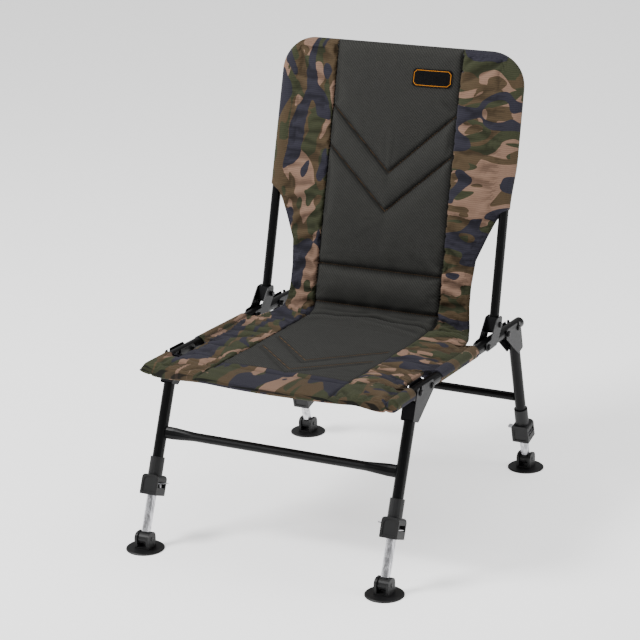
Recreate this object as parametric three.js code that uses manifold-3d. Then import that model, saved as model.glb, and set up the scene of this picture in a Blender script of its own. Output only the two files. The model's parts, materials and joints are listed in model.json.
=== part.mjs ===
// Low folding fishing chair with a padded fabric seat and back.
// Millimetres, +Z up, +Y towards the rear, X = 0 is the plane of symmetry.
// Heights are measured from the floor; lengths along the chair start where the front legs meet the
// rails, and the finished chair is moved so that its feet are centred on the origin.
import * as THREE from 'three';
import { mergeVertices } from 'three/addons/utils/BufferGeometryUtils.js';
import Module from 'manifold-3d';

const wasm = await Module();
wasm.setup();

// Clearances and overruns
const gap = 0.3;
const cutOverrun = 2;
const weldTolerance = 0.0001;

// Seat rails
const railD = 22;
const railWall = 1.5;
const railHalfSpan = 255;
const railFrontZ = 350.7;
const railDrop = 0.038;
const railFrontY = -95;
const railRearY = 508;
const railSides = 20;
const plugHeadD = 22;
const plugHeadLength = 3;
const plugStemLength = 14;

// Bolts
const boltD = 6;
const boltHoleD = 7.2;
const boltSides = 8;
const boltHeadD = 12;
const boltHeadHeight = 3.6;
const nutD = 11;
const nutHeight = 5;
const nutSides = 6;
const boltHeadSides = 12;
const boltBrimShare = 0.4;
const boltCrownShare = 0.6;

// Pressed channels that join the legs and the backrest to the rails
const plateInner = 11.35;
const plateThickness = 1.8;
const plateOuter = plateInner + plateThickness;
const bracketBottomAlong = 55;
const bracketFront = -12;
const bracketEnd = 8.5;
const bracketRound = 3;
const bracketTopRound = 7;
const webTopAlong = 21;
const slotFlare = 6;

// Outer legs
const legD = 22;
const legWall = 1.5;
const legTopAlong = 16.6;
const legBottomAlong = 231;
const crossbarD = 17.5;
const crossbarWall = 1.3;
const crossbarFlatHigh = 24;
const crossbarFlatDeep = 10;
const crossbarFlatLength = 16;
const crossbarTaperLength = 45;
const crossbarSides = 16;

// The two pairs of legs: where each crosses the rails, how far it leans outwards, how low its bar is
const rearCrossY = 472.6;
const frontLeanDeg = 22.3;
const rearLeanDeg = 14.34;
const frontBarAlong = 149;
const rearBarAlong = 171;
const pairs = [
  { name: 'front', facing: -1, crossY: 0, leanDeg: frontLeanDeg, crossbarAlong: frontBarAlong, flat: true },
  { name: 'rear', facing: 1, crossY: rearCrossY, leanDeg: rearLeanDeg, crossbarAlong: rearBarAlong },
];
const legPivotInset = 51;

// Lock housing at the foot of each outer leg
const sleeveD = 28;
const legAboveBlock = 2;
const sleeveHigh = 35;
const blockHigh = 39;
const blockTopAlong = legBottomAlong + legAboveBlock;
const blockBottomAlong = blockTopAlong + blockHigh;
const sleeveTopAlong = blockTopAlong - sleeveHigh;
const blockHalfWide = 18;
const blockHalfDeep = 17.5;
const blockShoulderRound = 7;
const blockFootRound = 1.5;
const panelInset = 5;
const panelTopInset = 4;
const panelRound = 8;
const panelDepth = 1.2;
const lockShaftGap = 0.5;

// Lock plate that tilts round the inner leg
const lockThickness = 1.8;
const lockHoleWeb = 2.2;
const lockFingerHalfWide = 6;
const lockFingerRound = 3;
const lockHingeOut = 16.6;
const lockHingeDown = 21.5;
const lockHingeAlong = blockTopAlong + lockHingeDown;
const lockFingerReach = 32;
const lockShoulderReach = 17;
const lockTiltDeg = 11;
const lockHoleGap = 2.2;
const lockChamberAbove = 9;
const lockChamberBelow = 2.4;

// Inner legs
const innerD = 18;
const lockHoleD = innerD + 2 * lockHoleGap;
const lockHalfWide = lockHoleD / 2 + lockHoleWeb;
const innerWall = 1.2;
const innerLength = 230;
const innerSides = 16;

// Knuckle and foot
const pivotHeight = 21;
const knuckleRadius = 12.2;
const innerEndAbovePivot = knuckleRadius + 2 * gap;
const knuckleHalfWide = 9;
const knuckleStemLength = 40;
const knuckleSides = 18;
const discD = 75;
const discThickness = 3;
const discSides = 36;
const discTopD = 71;
const bossHalfWide = 15;
const bossHalfDeep = 15;
const bossTop = 34;
const bossTopRound = 11;
const bossTopSteps = 5;
const bossSlotFloor = 6.5;
const pinHeadD = 9;
const pinHeadHeight = 0.8;

// Backrest: a bent tube that leans back, hinged ahead of its own ends
const backTubeD = 19;
const backTubeWall = 1.4;
const backTubeSides = 14;
const backMeetsRailY = 369;
const reclineDeg = 14.36;
const uprightLeanShare = 0.012;
const uprightStart = 14.6;
const backTubeTop = 552;
const backCornerRadius = 58;
const backCornerSteps = 6;
const backPivotAhead = 48;
const backPivotY = backMeetsRailY - backPivotAhead;
const backBoltUp = 31;
const backPlateFront = 12;
const backPlateUnder = 8;
const backPlateBehind = 13;
const backPlateAhead = 12;
const backPlateAbove = 17;
const backPlateRound = 8;
const backWebFrom = 18;
const backWebTo = 46;

// Fabric. Both covers are sheets with a middle panel between two side panels. A place across a sheet
// is counted from 0 on the middle line to 1 on the panel's edge and 2 on the tube; there each
// thickness list gives how far the face and the back stand from the tubes' plane.
const clothWall = 1.8;
const seamProud = 0.8;
const coverInsideSleeve = 0.4;
const grooveRadius = 2.6;
const grooveSides = 6;
const backPanelHalf = 136;
const backAcross = [0, 0.45, 0.92, 1, 1.07, 1.45, 1.85, 2];
const backThickness = [[0, 12.6, 8], [0.66, 12.4, 8], [0.92, 11, 8], [1, 7.6, 8], [1.07, 9.4, 8],
  [1.7, 10.4, 9.5], [1.9, 11, 10.8], [2, 11.2, 11.2]];
const coverBottom = 2;
const sleeveBottom = 250;
const channelBelowSleeve = 60;
const waistRowShares = [0, 0.11, 0.23, 0.39, 0.6, 0.8, 0.96];
const coverRowShares = [0, 0.33, 0.66, 1];
const cornerRowShares = [0.45, 0.79, 1];
const waistInsets = [[0, 47], [0.11, 52], [0.23, 55], [0.39, 55], [0.6, 50], [0.8, 29], [0.96, 16], [1, 3]];
const waistHemShare = 0.45;
const backChannels = [31, 109];
const backVees = [[306, 430], [228, 350]];
const backVeeReachShare = 0.985;
const seatPanelHalf = 138;
const seatPanelFrontY = -22;
const seatFrontMiddleY = -126;
const seatFrontBow = 24;
const seatBehindGap = 17;
const seatRear = backMeetsRailY - seatBehindGap;
const seatSag = 4;
const seatAcross = [0, 0.43, 0.92, 1, 1.07, 1.44, 1.79, 1.9, 2];
const seatThickness = [[0, 13, 0], [0.65, 12.8, 0], [0.92, 11.6, 0.4], [1, 8, 1.2], [1.07, 9.6, 2],
  [1.44, 10.4, 4], [1.79, 11.6, 7], [1.9, 12.4, 8.4], [2, 12.6, 9]];
const seatRowShares = [0, 0.03, 0.1, 0.19, 0.3, 0.42, 0.55, 0.68, 0.8, 0.9, 1];
const seatVees = [[-6, 110], [58, 178]];
const seatVeeReachShare = 0.87;
const pocketOverhang = 7;
const pocketRoom = 1.5;
const notchEndY = 100;
const sleeveEndY = 276;
const notchRoom = 6;
const seatRearNarrower = 16;

// Label patch
const labelAcross = 78;
const labelBelowTop = 52;
const labelSize = [90, 37];
const labelRound = 4;
const labelThickness = 1;

const paint = {
  blackTube: { color: 0x161618, roughness: 0.42, metalness: 0.35 },
  blackPlate: { color: 0x2a2a2e, roughness: 0.45, metalness: 0.45 },
  blackPlastic: { color: 0x1b1b1d, roughness: 0.6, metalness: 0 },
  zinc: { color: 0xd6d8dc, roughness: 0.3, metalness: 0.85 },
  camouflage: { color: 0x5d5540, roughness: 0.92, metalness: 0 },
  label: { color: 0x141414, roughness: 0.7, metalness: 0 },
};

const sides = [{ name: 'right', x: 1 }, { name: 'left', x: -1 }];
const radians = THREE.MathUtils.degToRad;
const vector = (x, y, z) => new THREE.Vector3(x, y, z);
const railZ = (y) => railFrontZ - railDrop * y;
const footAlong = (pair) => (railZ(pair.crossY) - pivotHeight) / Math.cos(radians(pair.leanDeg));
const footY = (pair) => pair.crossY + pair.facing * footAlong(pair) * Math.sin(radians(pair.leanDeg));
const centreY = (footY(pairs[0]) + footY(pairs[1])) / 2;

// Solids

function solidOf(geometry) {
  const bare = geometry.clone();
  for (const name of Object.keys(bare.attributes)) {
    if (name !== 'position') bare.deleteAttribute(name);
  }
  const merged = mergeVertices(bare, weldTolerance);
  const corners = merged.index.array;
  const kept = [];
  for (let i = 0; i < corners.length; i += 3) {
    const [a, b, c] = corners.slice(i, i + 3);
    if (a !== b && b !== c && c !== a) kept.push(a, b, c);
  }
  return new wasm.Manifold(new wasm.Mesh({
    numProp: 3,
    vertProperties: Float32Array.from(merged.attributes.position.array),
    triVerts: Uint32Array.from(kept),
  }));
}

function geometryOf(solid) {
  const mesh = solid.getMesh();
  const geometry = new THREE.BufferGeometry();
  geometry.setAttribute('position', new THREE.BufferAttribute(mesh.vertProperties, 3));
  geometry.setIndex(new THREE.BufferAttribute(mesh.triVerts, 1));
  geometry.computeVertexNormals();
  return geometry;
}

const union = (...solids) => solids.reduce((whole, solid) => whole.add(solid));
const cut = (solid, ...tools) => tools.reduce((rest, tool) => rest.subtract(tool), solid);

// A straight rod between two points, or a taper when it ends in another diameter.
function rod(from, to, diameter, facets, endDiameter = diameter) {
  const along = to.clone().sub(from);
  const geometry = new THREE.CylinderGeometry(endDiameter / 2, diameter / 2, along.length(), facets);
  const turn = new THREE.Quaternion().setFromUnitVectors(vector(0, 1, 0), along.clone().normalize());
  geometry.applyQuaternion(turn);
  const middle = from.clone().add(to).multiplyScalar(1 / 2);
  geometry.translate(middle.x, middle.y, middle.z);
  return solidOf(geometry);
}

// A rod that runs past both points, for cutting.
function drill(from, to, diameter, facets) {
  const step = to.clone().sub(from).normalize().multiplyScalar(cutOverrun);
  return rod(from.clone().sub(step), to.clone().add(step), diameter, facets);
}

function pipe(from, to, diameter, wall, facets) {
  return cut(rod(from, to, diameter, facets), drill(from, to, diameter - 2 * wall, facets));
}

function box(low, high) {
  const size = high.clone().sub(low);
  const geometry = new THREE.BoxGeometry(size.x, size.y, size.z);
  const middle = low.clone().add(high).multiplyScalar(1 / 2);
  geometry.translate(middle.x, middle.y, middle.z);
  return solidOf(geometry);
}

// Rounds the corners of an outline given as [u, v, radius].
function roundedOutline(corners, steps = 3) {
  const points = [];
  corners.forEach(([u, v, radius], i) => {
    const corner = new THREE.Vector2(u, v);
    if (!radius) {
      points.push(corner);
      return;
    }
    const before = corners[(i + corners.length - 1) % corners.length];
    const after = corners[(i + 1) % corners.length];
    const back = new THREE.Vector2(before[0], before[1]).sub(corner).normalize();
    const on = new THREE.Vector2(after[0], after[1]).sub(corner).normalize();
    const half = Math.acos(THREE.MathUtils.clamp(back.dot(on), -1, 1)) / 2;
    const run = radius / Math.tan(half);
    const centre = corner.clone().addScaledVector(back.clone().add(on).normalize(), radius / Math.sin(half));
    const start = corner.clone().addScaledVector(back, run).sub(centre);
    const turn = Math.sign(start.cross(corner.clone().addScaledVector(on, run).sub(centre)));
    for (let k = 0; k <= steps; k += 1) {
      const angle = turn * (Math.PI - 2 * half) * k / steps;
      points.push(start.clone().rotateAround(new THREE.Vector2(), angle).add(centre));
    }
  });
  return points;
}

// A plate: an outline in the YZ plane carried along X.
function plateAcrossX(points, fromX, toX) {
  const geometry = new THREE.ExtrudeGeometry(new THREE.Shape(points), {
    depth: toX - fromX,
    bevelEnabled: false,
  });
  geometry.applyMatrix4(new THREE.Matrix4().makeBasis(vector(0, 1, 0), vector(0, 0, 1), vector(1, 0, 0)));
  geometry.translate(fromX, 0, 0);
  return solidOf(geometry);
}

// A block: an outline in the XZ plane carried along Y.
function plateAcrossY(points, fromY, toY) {
  const geometry = new THREE.ExtrudeGeometry(new THREE.Shape(points), {
    depth: toY - fromY,
    bevelEnabled: false,
  });
  geometry.applyMatrix4(new THREE.Matrix4().makeBasis(vector(1, 0, 0), vector(0, 0, 1), vector(0, -1, 0)));
  geometry.translate(0, toY, 0);
  return solidOf(geometry);
}

// A path whose sections stand exactly at the given points.
class StationPath extends THREE.Curve {
  constructor(points) {
    super();
    this.points = points;
  }

  getPointAt(share) {
    return this.points[Math.round(share * (this.points.length - 1))].clone();
  }

  getTangentAt(share) {
    const i = Math.round(share * (this.points.length - 1));
    const before = this.points[Math.max(i - 1, 0)];
    const after = this.points[Math.min(i + 1, this.points.length - 1)];
    return after.clone().sub(before).normalize();
  }
}

function sweep(points, radius, facets) {
  const outline = Array.from({ length: facets }, (_, k) => (
    new THREE.Vector2(radius, 0).rotateAround(new THREE.Vector2(), 2 * Math.PI * k / facets)
  ));
  const geometry = new THREE.ExtrudeGeometry(new THREE.Shape(outline), {
    steps: points.length - 1,
    extrudePath: new StationPath(points),
    bevelEnabled: false,
  });
  return solidOf(geometry);
}

// A closed sheet between a face and a back, both given as functions of column and row.
function sheet(columns, rows, place) {
  const wide = columns.length;
  const tall = rows.length;
  const positions = [];
  for (const face of [1, -1]) {
    for (const row of rows) {
      for (const column of columns) positions.push(...place(column, row, face).toArray());
    }
  }
  const at = (i, j, face) => (face > 0 ? 0 : wide * tall) + j * wide + i;
  const corners = [];
  const quad = (a, b, c, d) => corners.push(a, b, c, a, c, d);
  for (let j = 0; j + 1 < tall; j += 1) {
    for (let i = 0; i + 1 < wide; i += 1) {
      quad(at(i, j, 1), at(i + 1, j, 1), at(i + 1, j + 1, 1), at(i, j + 1, 1));
      quad(at(i, j, -1), at(i, j + 1, -1), at(i + 1, j + 1, -1), at(i + 1, j, -1));
    }
    quad(at(0, j, -1), at(0, j, 1), at(0, j + 1, 1), at(0, j + 1, -1));
    quad(at(wide - 1, j, 1), at(wide - 1, j, -1), at(wide - 1, j + 1, -1), at(wide - 1, j + 1, 1));
  }
  for (let i = 0; i + 1 < wide; i += 1) {
    quad(at(i, 0, -1), at(i + 1, 0, -1), at(i + 1, 0, 1), at(i, 0, 1));
    quad(at(i, tall - 1, 1), at(i + 1, tall - 1, 1), at(i + 1, tall - 1, -1), at(i, tall - 1, -1));
  }
  const geometry = new THREE.BufferGeometry();
  geometry.setAttribute('position', new THREE.Float32BufferAttribute(positions, 3));
  geometry.setIndex(corners);
  return solidOf(geometry);
}

// A closed skin over rings of equal length, with flat ends.
function skin(rings) {
  const facets = rings[0].length;
  const positions = [];
  for (const ring of rings) {
    for (const point of ring) positions.push(...point.toArray());
  }
  const ends = [0, rings.length - 1].map((i) => {
    const middle = rings[i].reduce((sum, point) => sum.add(point), vector(0, 0, 0)).divideScalar(facets);
    positions.push(...middle.toArray());
    return positions.length / 3 - 1;
  });
  const corners = [];
  for (let k = 0; k < facets; k += 1) {
    const next = (k + 1) % facets;
    for (let i = 0; i + 1 < rings.length; i += 1) {
      const [a, b] = [i * facets, (i + 1) * facets];
      corners.push(a + k, a + next, b + next, a + k, b + next, b + k);
    }
    const last = (rings.length - 1) * facets;
    corners.push(ends[0], next, k, ends[1], last + k, last + next);
  }
  const geometry = new THREE.BufferGeometry();
  geometry.setAttribute('position', new THREE.Float32BufferAttribute(positions, 3));
  geometry.setIndex(corners);
  return solidOf(geometry);
}

const mirrored = (values) => [...values.slice(1).reverse().map((value) => -value), ...values];

// Assembly

const group = new THREE.Group();
group.name = 'carp_fishing_chair';

function add(name, solid, finish) {
  const geometry = geometryOf(solid);
  geometry.translate(0, -centreY, 0);
  const mesh = new THREE.Mesh(geometry, new THREE.MeshStandardMaterial(paint[finish]));
  mesh.name = name;
  group.add(mesh);
}

// Cross bolts: a domed head outside, a nut inside

function crossBolt(side, y, z) {
  const at = (x) => vector(side.x * (railHalfSpan + x), y, z);
  const face = plateOuter + gap;
  const brim = face + boltHeadHeight * boltBrimShare;
  return union(
    rod(at(-face - nutHeight / 2), at(brim), boltD, boltSides),
    rod(at(face), at(brim), boltHeadD, boltHeadSides),
    rod(at(brim), at(face + boltHeadHeight), boltHeadD, boltHeadSides, boltHeadD * boltCrownShare),
    rod(at(-face - nutHeight), at(-face), nutD, nutSides),
  );
}

// The hole a cross bolt needs, through everything that straddles one rail
function boltHole(side, y, z) {
  const at = (x) => vector(side.x * railHalfSpan + x, y, z);
  return drill(at(-plateOuter), at(plateOuter), boltHoleD, boltSides);
}

const pivotY = (pair) => pair.crossY - pair.facing * legPivotInset;
const backBolt = { y: backMeetsRailY + backBoltUp * Math.tan(radians(reclineDeg)) };
backBolt.z = railZ(backMeetsRailY) + backBoltUp;

// Seat rails, open tubes with an end plug behind

for (const side of sides) {
  const at = (y) => vector(side.x * railHalfSpan, y, railZ(y));
  const crossings = [backPivotY, ...pairs.flatMap((pair) => [pair.crossY, pivotY(pair)])];
  const holes = crossings.map((y) => boltHole(side, y, railZ(y)));
  add(`rail_${side.name}`, cut(pipe(at(railFrontY), at(railRearY), railD, railWall, railSides), ...holes),
    'blackTube');
  const stemD = railD - 2 * railWall - 2 * gap;
  add(`rail_plug_${side.name}`, union(
    rod(at(railRearY - plugStemLength), at(railRearY + gap + plugHeadLength / 2), stemD, railSides),
    rod(at(railRearY + gap), at(railRearY + gap + plugHeadLength), plugHeadD, railSides, stemD),
  ), 'blackPlastic');
  for (const pair of pairs) {
    const pivot = pivotY(pair);
    add(`leg_pivot_bolt_${pair.name}_${side.name}`, crossBolt(side, pivot, railZ(pivot)), 'blackPlate');
    add(`leg_stop_bolt_${pair.name}_${side.name}`, crossBolt(side, pair.crossY, railZ(pair.crossY)), 'blackPlate');
  }
  add(`back_pivot_bolt_${side.name}`, crossBolt(side, backPivotY, railZ(backPivotY)), 'blackPlate');
}

// Legs. A leg is built hanging from the origin, then leaned over and hung from its rail.

function legPlace(pair, x) {
  return new THREE.Matrix4().makeTranslation(x, pair.crossY, railZ(pair.crossY))
    .multiply(new THREE.Matrix4().makeRotationX(pair.facing * radians(pair.leanDeg)));
}

const placed = (solid, matrix) => solid.transform(matrix.elements);
const down = (along, x = 0, y = 0) => vector(x, y, -along);

function legBracket(pair, side) {
  const lean = radians(pair.leanDeg);
  const inward = -pair.facing;
  const railSlope = (a) => -railDrop * inward * a;
  const onLeg = (along, out) => [
    -along * Math.sin(lean) - out * Math.cos(lean),
    -along * Math.cos(lean) + out * Math.sin(lean),
  ];
  const onRail = (a, up) => [a, up + railSlope(a)];
  const world = ([a, b, radius]) => [pair.crossY + inward * a, railZ(pair.crossY) + b, radius];
  const outline = roundedOutline([
    [...onLeg(bracketBottomAlong, plateOuter), bracketRound],
    [...onRail(bracketFront, railD / 2), bracketTopRound],
    [...onRail(legPivotInset + bracketEnd, railD / 2), bracketTopRound],
    [...onRail(legPivotInset + bracketEnd, -bracketEnd), bracketRound],
    [...onLeg(bracketBottomAlong, -legD / 2), bracketRound],
  ].map(world));
  const webBottom = bracketBottomAlong - bracketRound;
  const web = [
    onLeg(webTopAlong, plateInner), onLeg(webTopAlong, plateOuter),
    onLeg(webBottom, plateOuter), onLeg(webBottom, plateInner),
  ].map(world).map(([y, z]) => new THREE.Vector2(y, z));
  const x = side.x * railHalfSpan;
  const mouth = [
    [-boltHoleD / 2, 0], [boltHoleD / 2, 0], [boltHoleD / 2 + slotFlare, railD], [-boltHoleD / 2, railD],
  ].map(world).map(([y, z]) => new THREE.Vector2(y, z));
  return cut(
    union(
      plateAcrossX(outline, x - plateOuter, x - plateInner),
      plateAcrossX(outline, x + plateInner, x + plateOuter),
      plateAcrossX(web, x - plateOuter, x + plateOuter),
    ),
    boltHole(side, pivotY(pair), railZ(pivotY(pair))),
    boltHole(side, pair.crossY, railZ(pair.crossY)),
    plateAcrossX(mouth, x - plateOuter - cutOverrun, x + plateOuter + cutOverrun),
  );
}

function crossbar(pair) {
  const round = crossbarD / 2;
  const flat = pair.flat ? [crossbarFlatDeep / 2, crossbarFlatHigh / 2] : [round, round];
  const end = railHalfSpan - legD / 2;
  const stations = [
    [end + crossbarWall, ...flat],
    [end - crossbarFlatLength, ...flat],
    [end - crossbarFlatLength - crossbarTaperLength, round, round],
  ];
  const both = [...stations.map(([x, ...size]) => [-x, ...size]), ...stations.reverse()];
  const rings = (thinner, longer) => both.map(([x, deep, high], i) => {
    const outermost = i === 0 || i === both.length - 1;
    return Array.from({ length: crossbarSides }, (_, k) => {
      const angle = 2 * Math.PI * k / crossbarSides;
      return vector(
        x + (outermost ? Math.sign(x) * longer : 0),
        (deep - thinner) * Math.cos(angle),
        (high - thinner) * Math.sin(angle) - pair.crossbarAlong,
      );
    });
  });
  const copes = sides.map((side) => rod(
    down(pair.crossbarAlong - crossbarFlatHigh, side.x * railHalfSpan),
    down(pair.crossbarAlong + crossbarFlatHigh, side.x * railHalfSpan),
    legD + 2 * gap,
    railSides,
  ));
  return cut(skin(rings(0, 0)), skin(rings(crossbarWall, cutOverrun)), ...copes);
}

function lockHousing() {
  const block = roundedOutline([
    [-blockHalfWide, -blockBottomAlong, blockFootRound], [blockHalfWide, -blockBottomAlong, blockFootRound],
    [blockHalfWide, -blockTopAlong, blockShoulderRound], [-blockHalfWide, -blockTopAlong, blockShoulderRound],
  ]);
  const panelHalf = blockHalfWide - panelInset;
  const panel = roundedOutline([
    [-panelHalf, -blockBottomAlong + panelInset, blockFootRound],
    [panelHalf, -blockBottomAlong + panelInset, blockFootRound],
    [panelHalf, -blockTopAlong - panelTopInset, panelRound],
    [-panelHalf, -blockTopAlong - panelTopInset, panelRound],
  ]);
  const chamberHalf = lockHalfWide + gap;
  return cut(
    union(
      plateAcrossY(block, -blockHalfDeep, blockHalfDeep),
      rod(down(sleeveTopAlong), down(blockTopAlong + cutOverrun), sleeveD, railSides),
    ),
    rod(down(sleeveTopAlong - cutOverrun), down(legBottomAlong + gap), legD + 2 * gap, railSides),
    rod(down(legBottomAlong), down(blockBottomAlong + cutOverrun), innerD + 2 * lockShaftGap, innerSides),
    plateAcrossY(panel, -blockHalfDeep - cutOverrun, -blockHalfDeep + panelDepth),
    plateAcrossY(panel, blockHalfDeep - panelDepth, blockHalfDeep + cutOverrun),
    box(
      vector(-blockHalfWide - cutOverrun, -chamberHalf, -lockHingeAlong - lockChamberBelow),
      vector(blockHalfWide + cutOverrun, chamberHalf, -lockHingeAlong + lockChamberAbove),
    ),
  );
}

function lockPlate(side) {
  const shoulder = lockHingeOut + lockShoulderReach;
  const tip = lockHingeOut + lockFingerReach;
  const outline = roundedOutline([
    [0, -lockHalfWide, 0], [0, lockHalfWide, 0],
    [-side.x * shoulder, lockHalfWide, lockFingerRound], [-side.x * shoulder, lockFingerHalfWide, 0],
    [-side.x * tip, lockFingerHalfWide, lockFingerRound],
    [-side.x * tip, -lockFingerHalfWide, lockFingerRound],
    [-side.x * shoulder, -lockFingerHalfWide, 0], [-side.x * shoulder, -lockHalfWide, lockFingerRound],
  ]);
  const plate = new THREE.ExtrudeGeometry(new THREE.Shape(outline), {
    depth: lockThickness,
    bevelEnabled: false,
  });
  plate.translate(0, 0, -lockThickness / 2);
  const holeX = -side.x * lockHingeOut;
  const hole = drill(
    vector(holeX, 0, -lockThickness / 2),
    vector(holeX, 0, lockThickness / 2),
    lockHoleD,
    innerSides,
  );
  const tilt = new THREE.Matrix4().makeTranslation(side.x * lockHingeOut, 0, -lockHingeAlong)
    .multiply(new THREE.Matrix4().makeRotationY(side.x * radians(lockTiltDeg)));
  return placed(cut(solidOf(plate), hole), tilt);
}

function knuckle(pair) {
  const middle = footAlong(pair);
  const acrossX = (half) => [down(middle, -half), down(middle, half)];
  const stemD = innerD - 2 * innerWall - 2 * gap;
  return cut(
    union(
      rod(...acrossX(knuckleHalfWide), 2 * knuckleRadius, knuckleSides),
      rod(down(middle - innerEndAbovePivot + gap), down(middle), innerD, innerSides),
      rod(down(middle - knuckleStemLength), down(middle), stemD, innerSides),
    ),
    drill(...acrossX(knuckleHalfWide), boltHoleD, boltSides),
  );
}

function foot(x, y) {
  const at = (z) => vector(x, y, z);
  const boss = roundedOutline([
    [y - bossHalfDeep, discThickness / 2, 0], [y + bossHalfDeep, discThickness / 2, 0],
    [y + bossHalfDeep, bossTop, bossTopRound], [y - bossHalfDeep, bossTop, bossTopRound],
  ], bossTopSteps);
  const slotHalf = knuckleHalfWide + 2 * gap;
  return cut(
    union(
      rod(at(0), at(discThickness / 2), discD, discSides),
      rod(at(discThickness / 2), at(discThickness), discD, discSides, discTopD),
      plateAcrossX(boss, x - bossHalfWide, x + bossHalfWide),
    ),
    box(
      vector(x - slotHalf, y - bossHalfDeep - cutOverrun, bossSlotFloor),
      vector(x + slotHalf, y + bossHalfDeep + cutOverrun, bossTop + cutOverrun),
    ),
    drill(
      vector(x - bossHalfWide, y, pivotHeight),
      vector(x + bossHalfWide, y, pivotHeight),
      boltHoleD,
      boltSides,
    ),
  );
}

function footPin(x, y) {
  const at = (out) => vector(x + out, y, pivotHeight);
  const face = bossHalfWide + gap;
  const rivets = sides.map((side) => (
    rod(at(side.x * face), at(side.x * (face + pinHeadHeight)), pinHeadD, boltHeadSides, boltD)
  ));
  return union(rod(at(-face - pinHeadHeight / 2), at(face + pinHeadHeight / 2), boltD, boltSides), ...rivets);
}

for (const pair of pairs) {
  add(`crossbar_${pair.name}`, placed(crossbar(pair), legPlace(pair, 0)), 'blackTube');
  for (const side of sides) {
    const suffix = `${pair.name}_${side.name}`;
    const x = side.x * railHalfSpan;
    const place = legPlace(pair, x);
    const innerBottom = footAlong(pair) - innerEndAbovePivot;
    const outer = pipe(down(legTopAlong), down(legBottomAlong), legD, legWall, railSides);
    const inner = pipe(down(innerBottom - innerLength), down(innerBottom), innerD, innerWall, innerSides);
    add(`outer_leg_${suffix}`, placed(outer, place), 'blackTube');
    add(`leg_bracket_${suffix}`, legBracket(pair, side), 'blackPlate');
    add(`lock_housing_${suffix}`, placed(lockHousing(), place), 'blackPlastic');
    add(`lock_plate_${suffix}`, placed(lockPlate(side), place), 'zinc');
    add(`inner_leg_${suffix}`, placed(inner, place), 'zinc');
    add(`knuckle_${suffix}`, placed(knuckle(pair), place), 'blackPlastic');
    add(`foot_${suffix}`, foot(x, footY(pair)), 'blackPlastic');
    add(`foot_pin_${suffix}`, footPin(x, footY(pair)), 'blackPlate');
  }
}

// Backrest tube, drawn in its own leaning plane: x across, s along the uprights

const recline = radians(reclineDeg);
const backPlace = new THREE.Matrix4()
  .makeTranslation(0, backMeetsRailY, railZ(backMeetsRailY))
  .multiply(new THREE.Matrix4().makeRotationX(-recline));
const uprightX = (s) => railHalfSpan - uprightLeanShare * s;
const cornerS = backTubeTop - backCornerRadius;
const cornerX = uprightX(cornerS) - backCornerRadius;

// The tube's centre line from one upright over the top to the other, starting at the given length.
function backPath(starts) {
  const half = starts.map((s) => vector(uprightX(s), 0, s));
  for (let k = 0; k <= backCornerSteps; k += 1) {
    const angle = (Math.PI / 2) * k / backCornerSteps;
    half.push(vector(
      cornerX + backCornerRadius * Math.cos(angle),
      0,
      cornerS + backCornerRadius * Math.sin(angle),
    ));
  }
  return [...half, ...half.map((point) => vector(-point.x, 0, point.z)).reverse()];
}

const tube = cut(
  sweep(backPath([uprightStart, sleeveBottom]), backTubeD / 2, backTubeSides),
  sweep(backPath([uprightStart - cutOverrun, sleeveBottom]), backTubeD / 2 - backTubeWall, backTubeSides),
);
add('back_tube', cut(
  placed(tube, backPlace),
  ...sides.map((side) => boltHole(side, backBolt.y, backBolt.z)),
), 'blackTube');

for (const side of sides) {
  const x = side.x * railHalfSpan;
  const railBase = railZ(backPivotY);
  const outline = roundedOutline([
    [backPivotY - backPlateFront, railBase - backPlateUnder, backPlateRound],
    [backMeetsRailY - backPlateUnder, railBase - backPlateUnder, bracketRound],
    [backBolt.y + backPlateUnder, backBolt.z - backPlateUnder, bracketTopRound],
    [backBolt.y + backPlateBehind, backBolt.z + backPlateAbove, bracketTopRound],
    [backBolt.y - backPlateAhead, backBolt.z + backPlateAbove, bracketTopRound],
    [backPivotY + backPlateFront, railBase + railD / 2, backPlateRound],
    [backPivotY - backPlateFront, railBase + railD / 2, backPlateRound],
  ]);
  const web = placed(box(
    vector(x - plateOuter, -plateOuter, backWebFrom),
    vector(x + plateOuter, -plateInner, backWebTo),
  ), backPlace);
  add(`back_bracket_${side.name}`, cut(
    union(
      plateAcrossX(outline, x - plateOuter, x - plateInner),
      plateAcrossX(outline, x + plateInner, x + plateOuter),
      web,
    ),
    boltHole(side, backPivotY, railBase),
    boltHole(side, backBolt.y, backBolt.z),
  ), 'blackPlate');
  add(`back_bolt_${side.name}`, crossBolt(side, backBolt.y, backBolt.z), 'blackPlate');
}

// Fabric. Both covers are padded sheets hung between sleeves that run round the tubes.

const between = (low, high, share) => low + (high - low) * share;

// Reads a list of [position, value, ...] stations, straight from one to the next.
function reading(stations, position) {
  const last = stations.length - 1;
  const after = stations.findIndex(([at]) => at >= position);
  if (after === 0 || after === -1) return stations[after === 0 ? 0 : last].slice(1);
  const [low, high] = [stations[after - 1], stations[after]];
  const share = (position - low[0]) / (high[0] - low[0]);
  return low.slice(1).map((value, i) => between(value, high[i + 1], share));
}

const seam = (from, to) => rod(from, to, 2 * grooveRadius, grooveSides);

// Seams over a padded panel: lines down both its edges, lines across it and V shapes with arms
// from near both edges to a point on the middle line. Positions are [across, along] on the sheet.
function panelSeams(half, along, across, vees, reach, place) {
  const lines = [...across.map((s) => [[-half, s], [half, s]])];
  for (const side of sides) {
    lines.push([[side.x * half, along[0]], [side.x * half, along[1]]]);
    for (const [tip, arm] of vees) lines.push([[0, tip], [side.x * reach, arm]]);
  }
  return lines.map(([from, to]) => seam(place(...from), place(...to)));
}

// A distance from the middle line for a place across a sheet
const acrossAt = (place, panelHalf, half) => (
  place <= 1 ? place * panelHalf : between(panelHalf, half, place - 1)
);
const steps = (from, to, shares) => shares.map((share) => between(from, to, share));

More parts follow.
